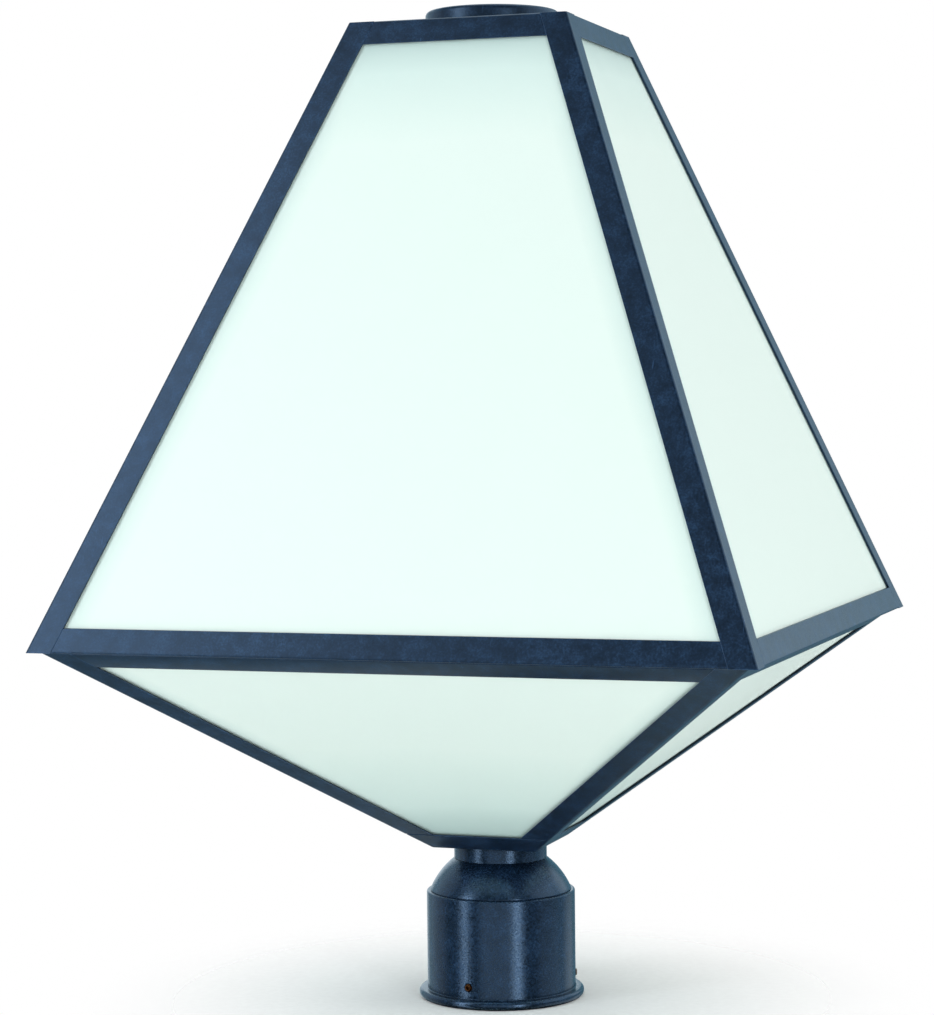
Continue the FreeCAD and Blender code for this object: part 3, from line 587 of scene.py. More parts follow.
def paint(name, shade_colour, tones, grain, roughness):
    """Textured powder paint on steel: a satin navy skin with a fine dark speckle and rare pale scratches,
    with a painted highlight on its edges and painted shade in its recesses.
    """
    cloud_width, scratch_width, relief = 8 * MM, 0.7 * MM, 0.12 * MM
    dark, body, light = tones
    material, tree, place = new_material(name)
    mottle = add(tree, "TexNoise",
                 {"Vector": place, "Scale": 1 / grain, "Detail": 4.0, "Roughness": 0.7}).outputs["Fac"]
    cloud = add(tree, "TexNoise",
                {"Vector": place, "Scale": 1 / cloud_width, "Detail": 3.0, "Roughness": 0.6}).outputs["Fac"]
    blend = add(tree, "Mix", {0: CLOUD_SHARE, 2: mottle, 3: cloud})
    tone = set_ramp(add(tree, "ValToRGB", {"Fac": blend.outputs[0]}),
                    [(0.36, dark), (0.5, body), (0.66, light)])
    stretch = add(tree, "Mapping",
                  {"Vector": place, "Rotation": (0.5, 0.9, 0.5), "Scale": (1.0, 0.05, 0.08)})
    scratch = add(tree, "TexNoise",
                  {"Vector": stretch.outputs[0], "Scale": 1 / scratch_width, "Detail": 1.0})
    rare = add(tree, "MapRange",
               {"Value": scratch.outputs["Fac"], "From Min": 0.77, "From Max": 0.83, "To Max": 0.6})
    # Painted highlight: a paler blue along every edge, patchy with the clouds; the rare scratches are real
    # wear in the same colour.
    rounded = add(tree, "Bevel", {"Radius": EDGE_HIGHLIGHT_REACH}, samples=6)
    flat = add(tree, "NewGeometry").outputs["Normal"]
    turned = add(tree, "VectorMath", {0: rounded.outputs[0], 1: flat}, operation="DOT_PRODUCT")
    edge = add(tree, "MapRange",
               {"Value": turned.outputs["Value"], "From Min": 0.99, "From Max": 0.86})
    patchy = add(tree, "MapRange",
                 {"Value": cloud, "From Min": 0.35, "From Max": 0.6, "To Min": 0.25, "To Max": 0.85})
    edge_highlight = add(tree, "Math", {0: edge.outputs[0], 1: patchy.outputs[0]}, operation="MULTIPLY")
    scratches_and_edge_highlight = add(tree, "Math", {0: rare.outputs[0], 1: edge_highlight.outputs[0]}, operation="MAXIMUM")
    # Painted shade: where ambient occlusion finds a recess within that distance, the paint turns to the dark
    # shade colour.
    occlusion = add(tree, "AmbientOcclusion", {"Distance": PAINTED_SHADE_DISTANCE}, samples=8)
    depth = add(tree, "MapRange", {"Value": occlusion.outputs["AO"], "From Min": 0.35, "From Max": 0.8})
    shaded_tone = add(tree, "Mix", {0: depth.outputs[0], 6: colour(shade_colour), 7: tone}, data_type="RGBA")
    # Pale blue of the real scratches and of the painted edge highlight.
    coat = add(tree, "Mix", {0: scratches_and_edge_highlight.outputs[0], 6: shaded_tone.outputs[2], 7: colour("#3b5c86")},
               data_type="RGBA")
    sheen = add(tree, "MapRange",
                {"Value": mottle, "From Min": 0.3, "From Max": 0.7,
                 "To Min": roughness - 0.06, "To Max": roughness + 0.08})
    put_skin(tree, mottle, 0.35, relief,
             {"Base Color": coat.outputs[2], "Roughness": sheen.outputs[0], "IOR": 1.5,
              "Specular IOR Level": 1.0, "Specular Tint": colour("#a8ccf4")})
    return material


def opal_glass():
    """Acid etched opal glass: an even milky white, with painted shade that makes it cooler and darker
    towards the steel and the narrow end.
    """
    cloud_width, wander_reach, grain, relief, depth = 60 * MM, 2 * MM, 0.6 * MM, 0.05 * MM, 4 * MM
    material, tree, place = new_material("etched_opal_glass")
    rim = add(tree, "Attribute", attribute_name="rim")
    cloud = add(tree, "TexNoise",
                {"Vector": place, "Scale": 1 / cloud_width, "Detail": 2.0, "Roughness": 0.5})
    wander = add(tree, "Math", {0: cloud.outputs["Fac"], 1: 2 * wander_reach, 2: -wander_reach},
                 operation="MULTIPLY_ADD")
    reach = add(tree, "Math", {0: rim.outputs["Fac"], 1: wander.outputs[0]}, operation="ADD")
    fade = add(tree, "MapRange",
               {"Value": reach.outputs[0], "From Min": 0.0, "From Max": SHADE_REACH})
    # Painted shade: the glass turns cooler and darker near the steel's sloping edges and at the narrow end.
    tone = set_ramp(add(tree, "ValToRGB", {"Fac": fade.outputs[0]}),
                    [(0.0, "#a9c4be"), (0.15, "#c3dad4"), (0.4, "#d9eee6"), (1.0, "#e7f9ee")])
    etch = add(tree, "TexNoise",
               {"Vector": place, "Scale": 1 / grain, "Detail": 2.0, "Roughness": 0.6}).outputs["Fac"]
    gloss = add(tree, "MapRange", {"Value": etch, "To Min": 0.5, "To Max": 0.62})
    put_skin(tree, etch, 0.08, relief,
             {"Base Color": tone, "Roughness": gloss.outputs[0], "IOR": 1.5, "Specular IOR Level": 0.3,
              "Subsurface Weight": 0.35, "Subsurface Radius": (1.0, 1.0, 1.0), "Subsurface Scale": depth})
    return material


def metal(name, dark, light, grain, stretch, roughness, spread):
    """A bare or plated metal: two near tones in a drawn or spun grain, and a changing gloss."""
    blotch_width, relief = 7 * MM, 0.04 * MM
    material, tree, place = new_material(name)
    drawn = add(tree, "Mapping", {"Vector": place, "Scale": stretch})
    lines = add(tree, "TexNoise", {"Vector": drawn.outputs[0], "Scale": 1 / grain, "Detail": 3.0,
                                             "Roughness": 0.6}).outputs["Fac"]
    blotch = add(tree, "TexNoise",
                 {"Vector": place, "Scale": 1 / blotch_width, "Detail": 2.0}).outputs["Fac"]
    mixed = add(tree, "Math", {0: lines, 1: blotch}, operation="MULTIPLY")
    tone = set_ramp(add(tree, "ValToRGB", {"Fac": mixed.outputs[0]}),
                    [(0.16, dark), (0.36, light)])
    gloss = add(tree, "MapRange",
                {"Value": blotch, "From Min": 0.3, "From Max": 0.7,
                 "To Min": roughness - spread, "To Max": roughness + spread})
    put_skin(tree, lines, 0.15, relief,
             {"Base Color": tone, "Metallic": 1.0, "Roughness": gloss.outputs[0]})
    return material


def porcelain():
    """Glazed porcelain: a clean, faintly warm white with a hard gloss and fine iron specks."""
    speck_width, ripple, relief = 1.2 * MM, 9 * MM, 0.3 * MM
    material, tree, place = new_material("glazed_porcelain")
    speck = add(tree, "TexNoise", {"Vector": place, "Scale": 1 / speck_width, "Detail": 2.0})
    tone = set_ramp(add(tree, "ValToRGB", {"Fac": speck.outputs["Fac"]}),
                    [(0.24, "#b7ae9c"), (0.3, "#e9e6dc"), (0.7, "#f3f1ea")])
    glaze = add(tree, "TexNoise",
                {"Vector": place, "Scale": 1 / ripple, "Detail": 1.0}).outputs["Fac"]
    gloss = add(tree, "MapRange", {"Value": glaze, "To Min": 0.1, "To Max": 0.2})
    put_skin(tree, glaze, 0.12, relief, {"Base Color": tone, "Roughness": gloss.outputs[0], "IOR": 1.52})
    return material


def lamp_glass():
    """Blown clear glass: see-through and glossy, with faint streaks of varying thickness."""
    streak_width, relief = 8 * MM, 0.4 * MM
    material, tree, place = new_material("blown_clear_glass")
    streak = add(tree, "Mapping", {"Vector": place, "Scale": (1.0, 1.0, 0.2)})
    wave = add(tree, "TexNoise",
               {"Vector": streak.outputs[0], "Scale": 1 / streak_width, "Detail": 1.0}).outputs["Fac"]
    gloss = add(tree, "MapRange", {"Value": wave, "To Min": 0.0, "To Max": 0.05})
    put_skin(tree, wave, 0.1, relief,
             {"Base Color": colour("#f4f8f8"), "Roughness": gloss.outputs[0], "IOR": 1.46,
              "Transmission Weight": 1.0})
    return material


def rubber():
    """Moulded EPDM rubber: matt black, a little dusty in the grain."""
    grain_width, relief = 0.9 * MM, 0.1 * MM
    material, tree, place = new_material("moulded_epdm_rubber")
    grain = add(tree, "TexNoise",
                {"Vector": place, "Scale": 1 / grain_width, "Detail": 3.0}).outputs["Fac"]
    tone = set_ramp(add(tree, "ValToRGB", {"Fac": grain}), [(0.35, "#141414"), (0.65, "#262626")])
    put_skin(tree, grain, 0.2, relief, {"Base Color": tone, "Roughness": 0.75, "IOR": 1.52})
    return material


# The first colour of each paint is the painted shade colour of its recesses.
FORGED = paint("mottled_powder_paint", "#03080f", ("#050e1a", "#0d1d31", "#203955"), 1.0 * MM, 0.36)
CAST = paint("powder_paint_on_casting", "#02060c", ("#08131f", "#0f2034", "#1e3550"), 1.3 * MM, 0.26)
OPAL = opal_glass()
ZINC = metal("bright_zinc_plate", "#8f9494", "#c9cbc4", 0.5 * MM, (1, 1, 0.3), 0.3, 0.08)
SPRING = metal("blued_spring_steel", "#6f7478", "#a9aeb2", 0.4 * MM, (0.1, 1, 1), 0.28, 0.06)
BRASS = metal("pressed_brass", "#a5803e", "#d9b867", 0.4 * MM, (1, 1, 0.2), 0.26, 0.08)
BRONZED = metal("bronzed_set_screw_steel", "#3a2316", "#6b4526", 0.5 * MM, (1, 1, 1), 0.4, 0.1)
WHITEWARE = porcelain()
BULB = lamp_glass()
EPDM = rubber()


# ---------------------------------------------------------------- cage and bowl bars

def levels_of(piece):
    """The levels of a piece's points, from the lowest up."""
    return sorted({round(point.co.z, 6) for point in piece.data.vertices})


def lean(piece, half, stretch_from=None):
    """Lean an upright piece in as the frame does, and narrow it too where its ends follow the corners."""
    first, *others = levels_of(piece)
    for level in others:
        inwards = half(first) - half(level)
        choose(piece, "VERT", lambda point: abs(point.co.z - level) < NEAR)
        if stretch_from is None:
            bpy.ops.transform.translate(value=(inwards, inwards, 0))
        else:
            scale = (half(level) - stretch_from) / (half(first) - stretch_from)
            bpy.ops.transform.resize(value=(scale, 1, 1), center_override=(0, 0, level))
            bpy.ops.transform.translate(value=(0, inwards, 0))
        close_edit()


def round_fold(piece, test, radius=FOLD, segments=5):
    """Round the folds whose points pass a test."""
    edit(piece, "EDGE", lambda edge: all(test(point) for point in mesh_points(piece.data, edge)),
         bpy.ops.mesh.bevel, offset=radius, segments=segments, affect="EDGES")


def corner_bar(name, half, lowest, highest, leg, plate_levels):
    """One angle bar of a corner: two legs, a rounded fold, and flat plates welded into its ends."""
    wall = SHEET * slope(half)
    edge = -half(lowest)
    bar = block(name, (edge, edge, lowest), (edge + wall, edge + wall, highest))
    extrude(bar, lambda face: face.normal.x > 0.9, (leg - wall, 0, 0))
    extrude(bar, lambda face: face.normal.y > 0.9 and face.center.x < edge + wall, (0, leg - wall, 0))
    lean(bar, half)
    round_fold(bar, lambda point: abs(point.x - point.y) < NEAR and abs(point.x + half(point.z)) < NEAR)
    pieces = [finish_mesh(bar)]
    for level in plate_levels:
        inner = -half(level) + WELD_PLACE * wall
        outer = -half(level) + leg - WELD_GAP
        plate = block(name + "_plate", (inner, inner, level), (outer, outer, level + SHEET))
        lean(plate, half)
        pieces.append(finish_mesh(plate, EDGES["weld_plate"]))
    return joined(pieces)


def rail(name, half, level, rise, leg, flange, flange_up):
    """One angle bar along a side: a leg that slopes with the frame and a level flange behind it."""
    wall = SHEET * slope(half)
    low_level = level - rise if flange_up else level
    y = -half(low_level)
    width = half(low_level) - leg
    first = rise - SHEET if flange_up else SHEET
    bar = block(name, (-width, y, low_level), (width, y + wall, low_level + first))
    extrude(bar, lambda face: face.normal.z > 0.9, (0, 0, rise - first))
    extrude(bar, lambda face: face.normal.y > 0.9 and (face.center.z > low_level + first) == flange_up,
            (0, flange - wall, 0))
    lean(bar, half, stretch_from=leg)
    fold_level = low_level + rise if flange_up else low_level
    round_fold(bar, lambda point: abs(point.z - fold_level) < NEAR
               and abs(point.y + half(fold_level)) < NEAR)
    return finish_mesh(bar)


def make_cage():
    """Four corner bars, four top rails and four waist rails of folded steel."""
    waist, top = span("cage_corner_front_left")
    leg = high("cage_corner_front_left").x + cage_half(top)
    rise = high("cage_waist_rail_front").z - waist
    corner = corner_bar("corner_bar", cage_half, waist, top, leg, (waist, top - SHEET))
    waist_rail = rail("waist_rail", cage_half, waist, rise, leg, CAGE_FLANGE, False)
    top_rail = rail("top_rail", cage_half, top, rise, leg, CAGE_FLANGE, True)
    set_round(corner, "corner_bar_", "cage_corner_", CORNERS, FORGED)
    set_round(waist_rail, "waist_rail_", "cage_waist_rail_", SIDES, FORGED)
    set_round(top_rail, "top_rail_", "cage_top_rail_", SIDES, FORGED)


def make_bowl():
    """Four corner bars and four waist rails with centring tabs."""
    foot, top = span("bowl_corner_front_left")
    leg = high("bowl_corner_front_left").x + bowl_half(foot)
    rise = top - low("bowl_waist_rail_front").z
    corner = corner_bar("bowl_bar", bowl_half, foot, top, leg, (top - SHEET,))
    waist_rail = rail("bowl_rail", bowl_half, top, rise, leg, BOWL_FLANGE, True)
    tab_top = high("bowl_waist_rail_front").z
    tab_y = low("cage_waist_rail_front").y + CAGE_FLANGE + TAB_GAP
    tab = block("tab", (-TAB_WIDTH / 2, tab_y, top - SHEET), (TAB_WIDTH / 2, tab_y + SHEET, tab_top))
    round_fold(tab, lambda point: point.z > tab_top - SHEET and abs(point.y - tab_y - SHEET) < 10 * NEAR,
               TAB_FOLD)
    waist_rail = joined([waist_rail, finish_mesh(tab)])
    set_round(corner, "bowl_bar_", "bowl_corner_", CORNERS, FORGED)
    set_round(waist_rail, "bowl_rail_", "bowl_waist_rail_", SIDES, FORGED)


def taper(piece, half, inset=0.0):
    """Give a square block the sides of the frame, set in by a distance."""
    first, *others = levels_of(piece)
    for level in others:
        scale = (half(level) - inset) / (half(first) - inset)
        edit(piece, "VERT", lambda point: abs(point.co.z - level) < NEAR, bpy.ops.transform.resize,
             value=(scale, scale, 1), center_override=(0, 0, level))


def make_base_ring():
    """The small square tray at the foot of the bowl, with the wires' round opening."""
    lowest, highest = span("bowl_base_ring")
    half = bowl_half(lowest)
    wall = SHEET * slope(bowl_half)
    tray = block("base_ring", (-half, -half, lowest), (half, half, highest))
    taper(tray, bowl_half)
    inner = bowl_half(lowest + SHEET) - wall
    room = block("tray_room", (-inner, -inner, lowest + SHEET), (inner, inner, highest + SHEET))
    taper(room, bowl_half, wall)
    carve(tray, room)
    carve(tray, drum("tray_hole", RING_HOLE, lowest - SHEET, lowest + 2 * SHEET, ROUND))
    round_fold(tray, lambda point: abs(abs(point.x) - abs(point.y)) < 10 * NEAR
               and abs(abs(point.x) - bowl_half(point.z)) < 10 * NEAR, segments=4)
    dress(finish_mesh(tray), "bowl_base_ring", FORGED)


# ---------------------------------------------------------------- glass

def make_panes():
    """Eight opal panes with ground edges, leaning behind the legs of the bars."""
    for rank, half in (("upper", cage_half), ("lower", bowl_half)):
        node = rank + "_pane_front"
        lowest, highest = span(node)
        outer = (SHEET + PANE_GAP) * slope(half)
        inner = outer + GLASS * slope(half)
        side = inner + PANE_CORNER_GAP
        edge, width = -half(lowest), half(lowest) - side
        pane = block(rank + "_pane", (-width, edge + outer, lowest), (width, edge + inner, highest))
        lean(pane, half, stretch_from=side)
        edit(pane, "FACE", everything, bpy.ops.mesh.subdivide, number_cuts=PANE_CUTS)
        finish_mesh(pane, GROUND)
        mark_pane_shade(pane, half, side, lowest, highest, rank)
        set_round(pane, rank + "_glass_", rank + "_pane_", SIDES, OPAL)


def mark_pane_shade(pane, half, side, lowest, highest, rank):
    """Store how deep each point of the front pane lies in from its sloping edges and its narrow end, for the
    glass's painted shade.
    """
    rim = pane.data.attributes.new("rim", "FLOAT", "POINT")
    longer = slope(half)
    first, last = half(lowest), half(highest)
    for index, point in enumerate(pane.data.vertices):
        across = between(point.co.z, lowest, first, highest, last) - side - abs(point.co.x)
        level = highest - point.co.z if rank == "upper" else point.co.z - lowest
        rim.data[index].value = min(across, level * longer * NARROW_SHADE[rank])


# ---------------------------------------------------------------- roof and centre rod

def make_roof():
    """The round cap with its rolled edge, its slotted nut, the gasket and the closing plate."""
    level, top = span("cap")
    radius = high("cap").x
    hole = NUT_SHANK + TURNING
    inner = radius - CAP_WALL
    profile = [(inner, level), (radius, level)]
    profile += arc((radius - CAP_ROUND, top - CAP_ROUND), CAP_ROUND, 0, 90, 8)
    profile += [(hole, top), (hole, top - CAP_WALL)]
    profile += arc((inner - INNER_ROUND, top - CAP_WALL - INNER_ROUND), INNER_ROUND, 90, 0, 5)
    dress(lathe("round_cap", profile, CAP_SIDES), "cap", FORGED)
    level, crown = span("cap_nut")
    seat = top + TURNING
    head = high("cap_nut").x
    nut = lathe("slotted_nut", [
        (ROD + TURNING, level), (NUT_SHANK, level), (NUT_SHANK, seat), (head, seat),
        *bulge((head, crown - NUT_BEVEL), (head - NUT_BEVEL, crown), NUT_BEVEL * NUT_CROWN, 5), (0, crown)],
        rounding=0)
    carve(nut, drum("nut_bore", ROD + TURNING, level - SHEET, top + NUT_ROOF))
    carve(nut, block("nut_slot", (-head - SHEET, -SLOT_WIDTH / 2, crown - SLOT_DEPTH),
                     (head + SHEET, SLOT_WIDTH / 2, crown + SHEET)))
    dress(finish_mesh(nut, EDGES["cap_nut"]), "cap_nut", CAST)
    repaint("top_plate", FORGED)
    repaint("cap_gasket", EPDM)


def make_rod():
    """The centre rod with its rolled thread, and the bent yoke it is riveted into."""
    foot, tip = span("center_rod")
    shoulder = high("rod_yoke").z
    collar = high("center_rod").x
    start = tip - ROD_THREAD
    rod = lathe("threaded_rod", [
        (0, foot), (ROD_TIP, foot), (ROD_TIP, shoulder), (collar, shoulder),
        (collar, shoulder + ROD_COLLAR), (ROD, shoulder + ROD_COLLAR), (ROD, start),
        (ROD_CORE, start + ROD_RUNOUT), (ROD_CORE, tip - ROD_POINT), (ROD_CORE - ROD_POINT, tip), (0, tip)],
        SMALL_ROUND, rounding=EDGES["rod"])
    ridge = thread("rod_thread", ROD_CORE - RIDGE_ROOT, ROD - CREST_GAP, ROD_PITCH, start, tip - ROD_PLAIN)
    dress(joined([rod, ridge]), "center_rod", ZINC)
    half_x, half_y = high("rod_yoke").x, high("rod_yoke").y
    level = low("rod_yoke").z
    yoke = block("bent_yoke", (-half_x, -half_y, level), (half_x, half_y, shoulder))
    carve(yoke, block("yoke_room", (YOKE_SHEET - half_x, -half_y - SHEET, level - SHEET),
                      (half_x - YOKE_SHEET, half_y + SHEET, shoulder - YOKE_SHEET)))
    for bend, reach, radius in ((shoulder, half_x, YOKE_FOLD + YOKE_SHEET),
                                (shoulder - YOKE_SHEET, half_x - YOKE_SHEET, YOKE_FOLD)):
        round_fold(yoke, lambda point: abs(point.z - bend) < NEAR
                   and abs(abs(point.x) - reach) < NEAR, radius)
    carve(yoke, drum("yoke_hole", ROD_TIP + HOLE_GAP, shoulder - 2 * YOKE_SHEET, shoulder + SHEET))
    dress(finish_mesh(yoke, EDGES["yoke"]), "rod_yoke", ZINC)


# ---------------------------------------------------------------- post fitter, dome and neck

def make_fitter():
    """The cast barrel with its rolled foot, the dome above it and the neck."""
    top = high("post_fitter").z
    web = top - BARREL_WEB
    hole = NIPPLE + NIPPLE_GAP
    profile = [(POST_BORE, 0)]
    profile += bulge((FOOT_EDGE, 0), (FOOT_EDGE, FOOT_HEIGHT), FOOT_ROUND, 12)
    profile += [(BARREL + FOOT_FILLET, FOOT_HEIGHT)]
    profile += arc((BARREL + FOOT_FILLET, FOOT_HEIGHT + FOOT_FILLET), FOOT_FILLET, 270, 180, 4)[1:]
    profile += arc((BARREL - BARREL_ROUND, top - BARREL_ROUND), BARREL_ROUND, 0, 90, 5)
    profile += [(hole, top), (hole, web), (POST_STOP, web), (POST_STOP, POST_DEPTH), (POST_BORE, POST_DEPTH)]
    barrel = lathe("fitter_barrel", profile, BARREL_SIDES, rounding=0)
    countersink = BARREL + SCREW_SINK
    for place in range(SCREWS):
        cutter = [(0, SCREW_HOLE_START), (SCREW_HOLE, SCREW_HOLE_START), (SCREW_HOLE, BARREL - SCREW_SINK),
                  (SCREW_HOLE + 2 * SCREW_SINK, countersink), (0, countersink)]
        carve(barrel, lying("screw_hole", cutter, SCREW_TURN + place * THIRD))
    dress(finish_mesh(barrel, EDGES["barrel"]), "post_fitter", CAST)
    foot, neck_level = span("shoulder_dome")
    outer, neck = high("shoulder_dome").x, high("neck_collar").x
    band = foot + DOME_BAND
    profile = [(outer - DOME_WALL, foot), (outer, foot)]
    profile += bulge((outer, band), (neck, neck_level), DOME_ROUND, 14)
    profile += [(hole, neck_level), (hole, neck_level - DOME_WALL)]
    profile += bulge((neck - DOME_WALL, neck_level - DOME_WALL), (outer - DOME_WALL, band),
                     DOME_ROUND - DOME_WALL, 14)
    dress(lathe("cast_dome", profile, BARREL_SIDES), "shoulder_dome", CAST)
    base = high("neck_collar").z
    profile = [(RING_HOLE, neck_level), (neck, neck_level), (neck, base), (RING_HOLE, base)]
    collar = lathe("neck_ring", profile, BARREL_SIDES, rounding=EDGES["neck"], segments=3)
    dress(collar, "neck_collar", CAST)


def lying(name, profile, turn):
    """A turned piece that points outwards from the axis, at a screw's level and turn."""
    piece = lathe(name, profile, SMALL_ROUND, rounding=0)
    settle(piece, (0, 0, SCREW_LEVEL), (QUARTER, 0, 0))
    settle(piece, turn=(0, 0, turn))
    return piece


def make_set_screws():
    """Three headless screws with a hexagon socket and a cup point."""
    start, end = SCREW_START, SCREW_START + SCREW_LENGTH
    core = SCREW - SCREW_RIDGE
    screw = lathe("set_screw", [
        (0, start + SCREW_CUP_DEPTH), (SCREW_CUP, start), (core - SCREW_POINT, start),
        (core, start + SCREW_POINT), (core, end - SCREW_BEVEL), (core - SCREW_BEVEL, end), (0, end)],
        SMALL_ROUND, rounding=0)
    carve(screw, drum("screw_socket", SCREW_SOCKET, end - SCREW_SOCKET_DEPTH, end + SHEET, HEX_SIDES))
    finish_mesh(screw, EDGES["set_screw"], 1)
    ridge = thread("screw_ridge", core - RIDGE_ROOT, SCREW, SCREW_PITCH, start + SCREW_PLAIN[0],
                   end - SCREW_PLAIN[1], 32)
    screw = joined([screw, ridge])
    settle(screw, (0, 0, SCREW_LEVEL), (QUARTER, 0, 0))
    for place in range(SCREWS):
        twin = copied(screw, "socket_screw_%d" % (place + 1), SCREW_TURN + place * THIRD)
        dress(twin, "set_screw_%d" % (place + 1), BRONZED)
    bpy.data.objects.remove(screw)


# ---------------------------------------------------------------- clamped stack and lamps

def make_stack():
    """The threaded nipple with its four nuts, the base plate, the lamp bracket and the spring clips."""
    lowest, highest = span("nipple")
    core = NIPPLE - NIPPLE_RIDGE
    profile = [(NIPPLE_BORE, lowest), (core, lowest), (core, highest), (NIPPLE_BORE, highest)]
    tube = lathe("threaded_nipple", profile, SMALL_ROUND, rounding=EDGES["nipple"])
    ridge = thread("nipple_ridge", core - RIDGE_ROOT, NIPPLE, NIPPLE_PITCH, lowest + NIPPLE_PLAIN,
                   highest - NIPPLE_PLAIN)
    dress(joined([tube, ridge]), "nipple", ZINC)
    first = low("nipple_nuts").z
    last = first + HEX_HEIGHT
    nut = drum("hex_nut", HEX, first, last, HEX_SIDES)
    crown = HEX * math.cos(math.pi / HEX_SIDES)
    chamfer = (HEX - crown) * HEX_CHAMFER
    wide = crown + 2 * chamfer
    form = lathe("nut_form", [(0, first), (crown, first), (wide, first + chamfer), (wide, last - chamfer),
                              (crown, last), (0, last)], SMALL_ROUND, rounding=0)
    carve(nut, form, "INTERSECT")
    carve(nut, drum("hex_bore", NIPPLE + HOLE_GAP, first - SHEET, last + SHEET))
    finish_mesh(nut, EDGES["lock_nut"])
    levels = (first, high("base_plate").z, low("lamp_bracket").z - HEX_HEIGHT, high("lamp_bracket").z)
    nuts = [copied(nut, "lock_nuts", place * NUT_TURN, (0, 0, level - first))
            for place, level in enumerate(levels)]
    bpy.data.objects.remove(nut)
    dress(joined(nuts), "nipple_nuts", ZINC)
    for node, material in (("base_plate", ZINC), ("lamp_bracket", ZINC), ("upper_pane_clips", SPRING),
                           ("lower_pane_clips", SPRING)):
        repaint(node, material)


def make_lamps():
    """Three porcelain lampholders with brass shells, and a small clear lamp in each."""
    foot, top = span("lampholder_1")
    lamp_foot = low("lamp_base_1").z
    neck = lamp_foot + LAMP_BASE_HEIGHT
    models = (
        (make_holder(foot, top), "lampholder", "porcelain", WHITEWARE),
        (make_shell(foot + HOLDER_FLOOR + SHELL_GAP, top), "screw_shell", "brass", BRASS),
        (make_lamp_base(lamp_foot, neck), "lamp_base", "brass", BRASS),
        (make_envelope(lamp_foot, neck), "lamp_glass", "lamp_glass", BULB))
    inside = ((make_stem(neck), "lamp_glass", BULB), (make_filament(neck + STEM_HEIGHT), "zinc_plate", ZINC))
    for place in range(LAMPS):
        mark = "_%d" % (place + 1)
        lowest, highest = low("lampholder" + mark), high("lampholder" + mark)
        spot = ((lowest.x + highest.x) / 2, (lowest.y + highest.y) / 2, 0)
        for model, node, slot, material in models:
            dress(copied(model, model.name + mark, 0, spot), node + mark, material)
        for model, slot, material in inside:
            body = frame["nodes"]["lamp_glass" + mark]["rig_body"]
            attach(copied(model, model.name + mark, 0, spot), body, material)
    for model, *others in (*models, *inside):
        bpy.data.objects.remove(model)


def make_holder(foot, top):
    """A glazed porcelain lampholder with its grooves."""
    rim, floor = top - HOLDER_RIM_HEIGHT, foot + HOLDER_FLOOR
    socket = SHELL + SHELL_GAP
    profile = [(0, foot), (HOLDER, foot)]
    for groove in HOLDER_GROOVES:
        level = foot + groove * (rim - foot)
        profile += [(HOLDER, level - GROOVE_HALF), (HOLDER - GROOVE_DEPTH, level),
                    (HOLDER, level + GROOVE_HALF)]
    profile += [(HOLDER, rim), (HOLDER_RIM, rim), (HOLDER_RIM, top), (socket, top), (socket, floor),
                (0, floor)]
    return lathe("porcelain_holder", profile, HOLDER_SIDES, rounding=EDGES["lampholder"], segments=3)


def make_shell(floor, top):
    """A lampholder's screw shell of pressed brass."""
    wave = [(SHELL - CREST_GAP if step % 2 else SHELL - SHELL_DENT, floor + SHELL_WAVE * (step + 1))
            for step in range(int((top - floor) / SHELL_WAVE) - 1)]
    lining = [(radius - SHELL_WALL, level) for radius, level in reversed(wave)]
    rim, inside = top - SHELL_GAP, floor + SHELL_FLOOR
    return lathe("brass_shell", [
        (SHELL_HOLE, floor), (SHELL - SHELL_GAP, floor), *wave, (SHELL, rim), (SHELL - SHELL_LIP, rim),
        *lining, (SHELL - SHELL_FLOOR, inside), (SHELL_HOLE, inside)], SMALL_ROUND, rounding=0)


def make_lamp_base(foot, neck):
    """A lamp's brass screw base with its end contact and rolled thread."""
    core = LAMP_BASE - LAMP_RIDGE
    cone, skirt = foot + LAMP_CONE, neck - LAMP_SKIRT
    base = lathe("lamp_screw_base", [
        (0, foot), (LAMP_TIP - LAMP_TIP_BEVEL, foot), (LAMP_TIP, foot + LAMP_TIP_BEVEL),
        (LAMP_TIP, foot + LAMP_TIP_HEIGHT), (core, cone), (core, skirt - LAMP_FLARE), (LAMP_BASE, skirt),
        (LAMP_BASE, neck), (0, neck)], SMALL_ROUND, rounding=EDGES["lamp_base"])
    ridge = thread("lamp_ridge", core - RIDGE_ROOT, LAMP_BASE - CREST_GAP, LAMP_PITCH, cone + LAMP_PLAIN[0],
                   skirt - LAMP_PLAIN[1], 32, ROLLED_CREST)
    return joined([base, ridge])


def make_envelope(foot, neck):
    """A candle lamp's blown envelope: its outside and its lining, joined at the neck."""
    middle, tip = foot + LAMP_MIDDLE, foot + LAMP_HEIGHT
    skins = []
    for name, depth, end in (("lamp_envelope", 0, tip), ("lamp_lining", LAMP_WALL, tip - 2 * LAMP_WALL)):
        profile = bulge((LAMP_NECK - depth, neck), (LAMP - depth, middle), LAMP_LOW_CURVE, 12)
        profile += bulge((LAMP - depth, middle), (LAMP_POINT, end), LAMP_HIGH_CURVE, 18)[1:]
        skins.append(lathe(name, [*profile, (0, end)], SMALL_ROUND, rounding=0))
    whole = joined(skins)
    edit(whole, "EDGE", lambda edge: on_ring(whole, edge, (LAMP_NECK, neck))
         or on_ring(whole, edge, (LAMP_NECK - LAMP_WALL, neck)), bpy.ops.mesh.bridge_edge_loops)
    return finish_mesh(whole, 0)


def make_stem(neck):
    """The pressed glass stem that carries the filament."""
    profile = [(0, neck), *((radius, neck + height) for radius, height in STEM),
               (0, neck + STEM_HEIGHT + STEM_CROWN)]
    return lathe("lamp_stem", profile, STEM_SIDES, rounding=EDGES["stem"])


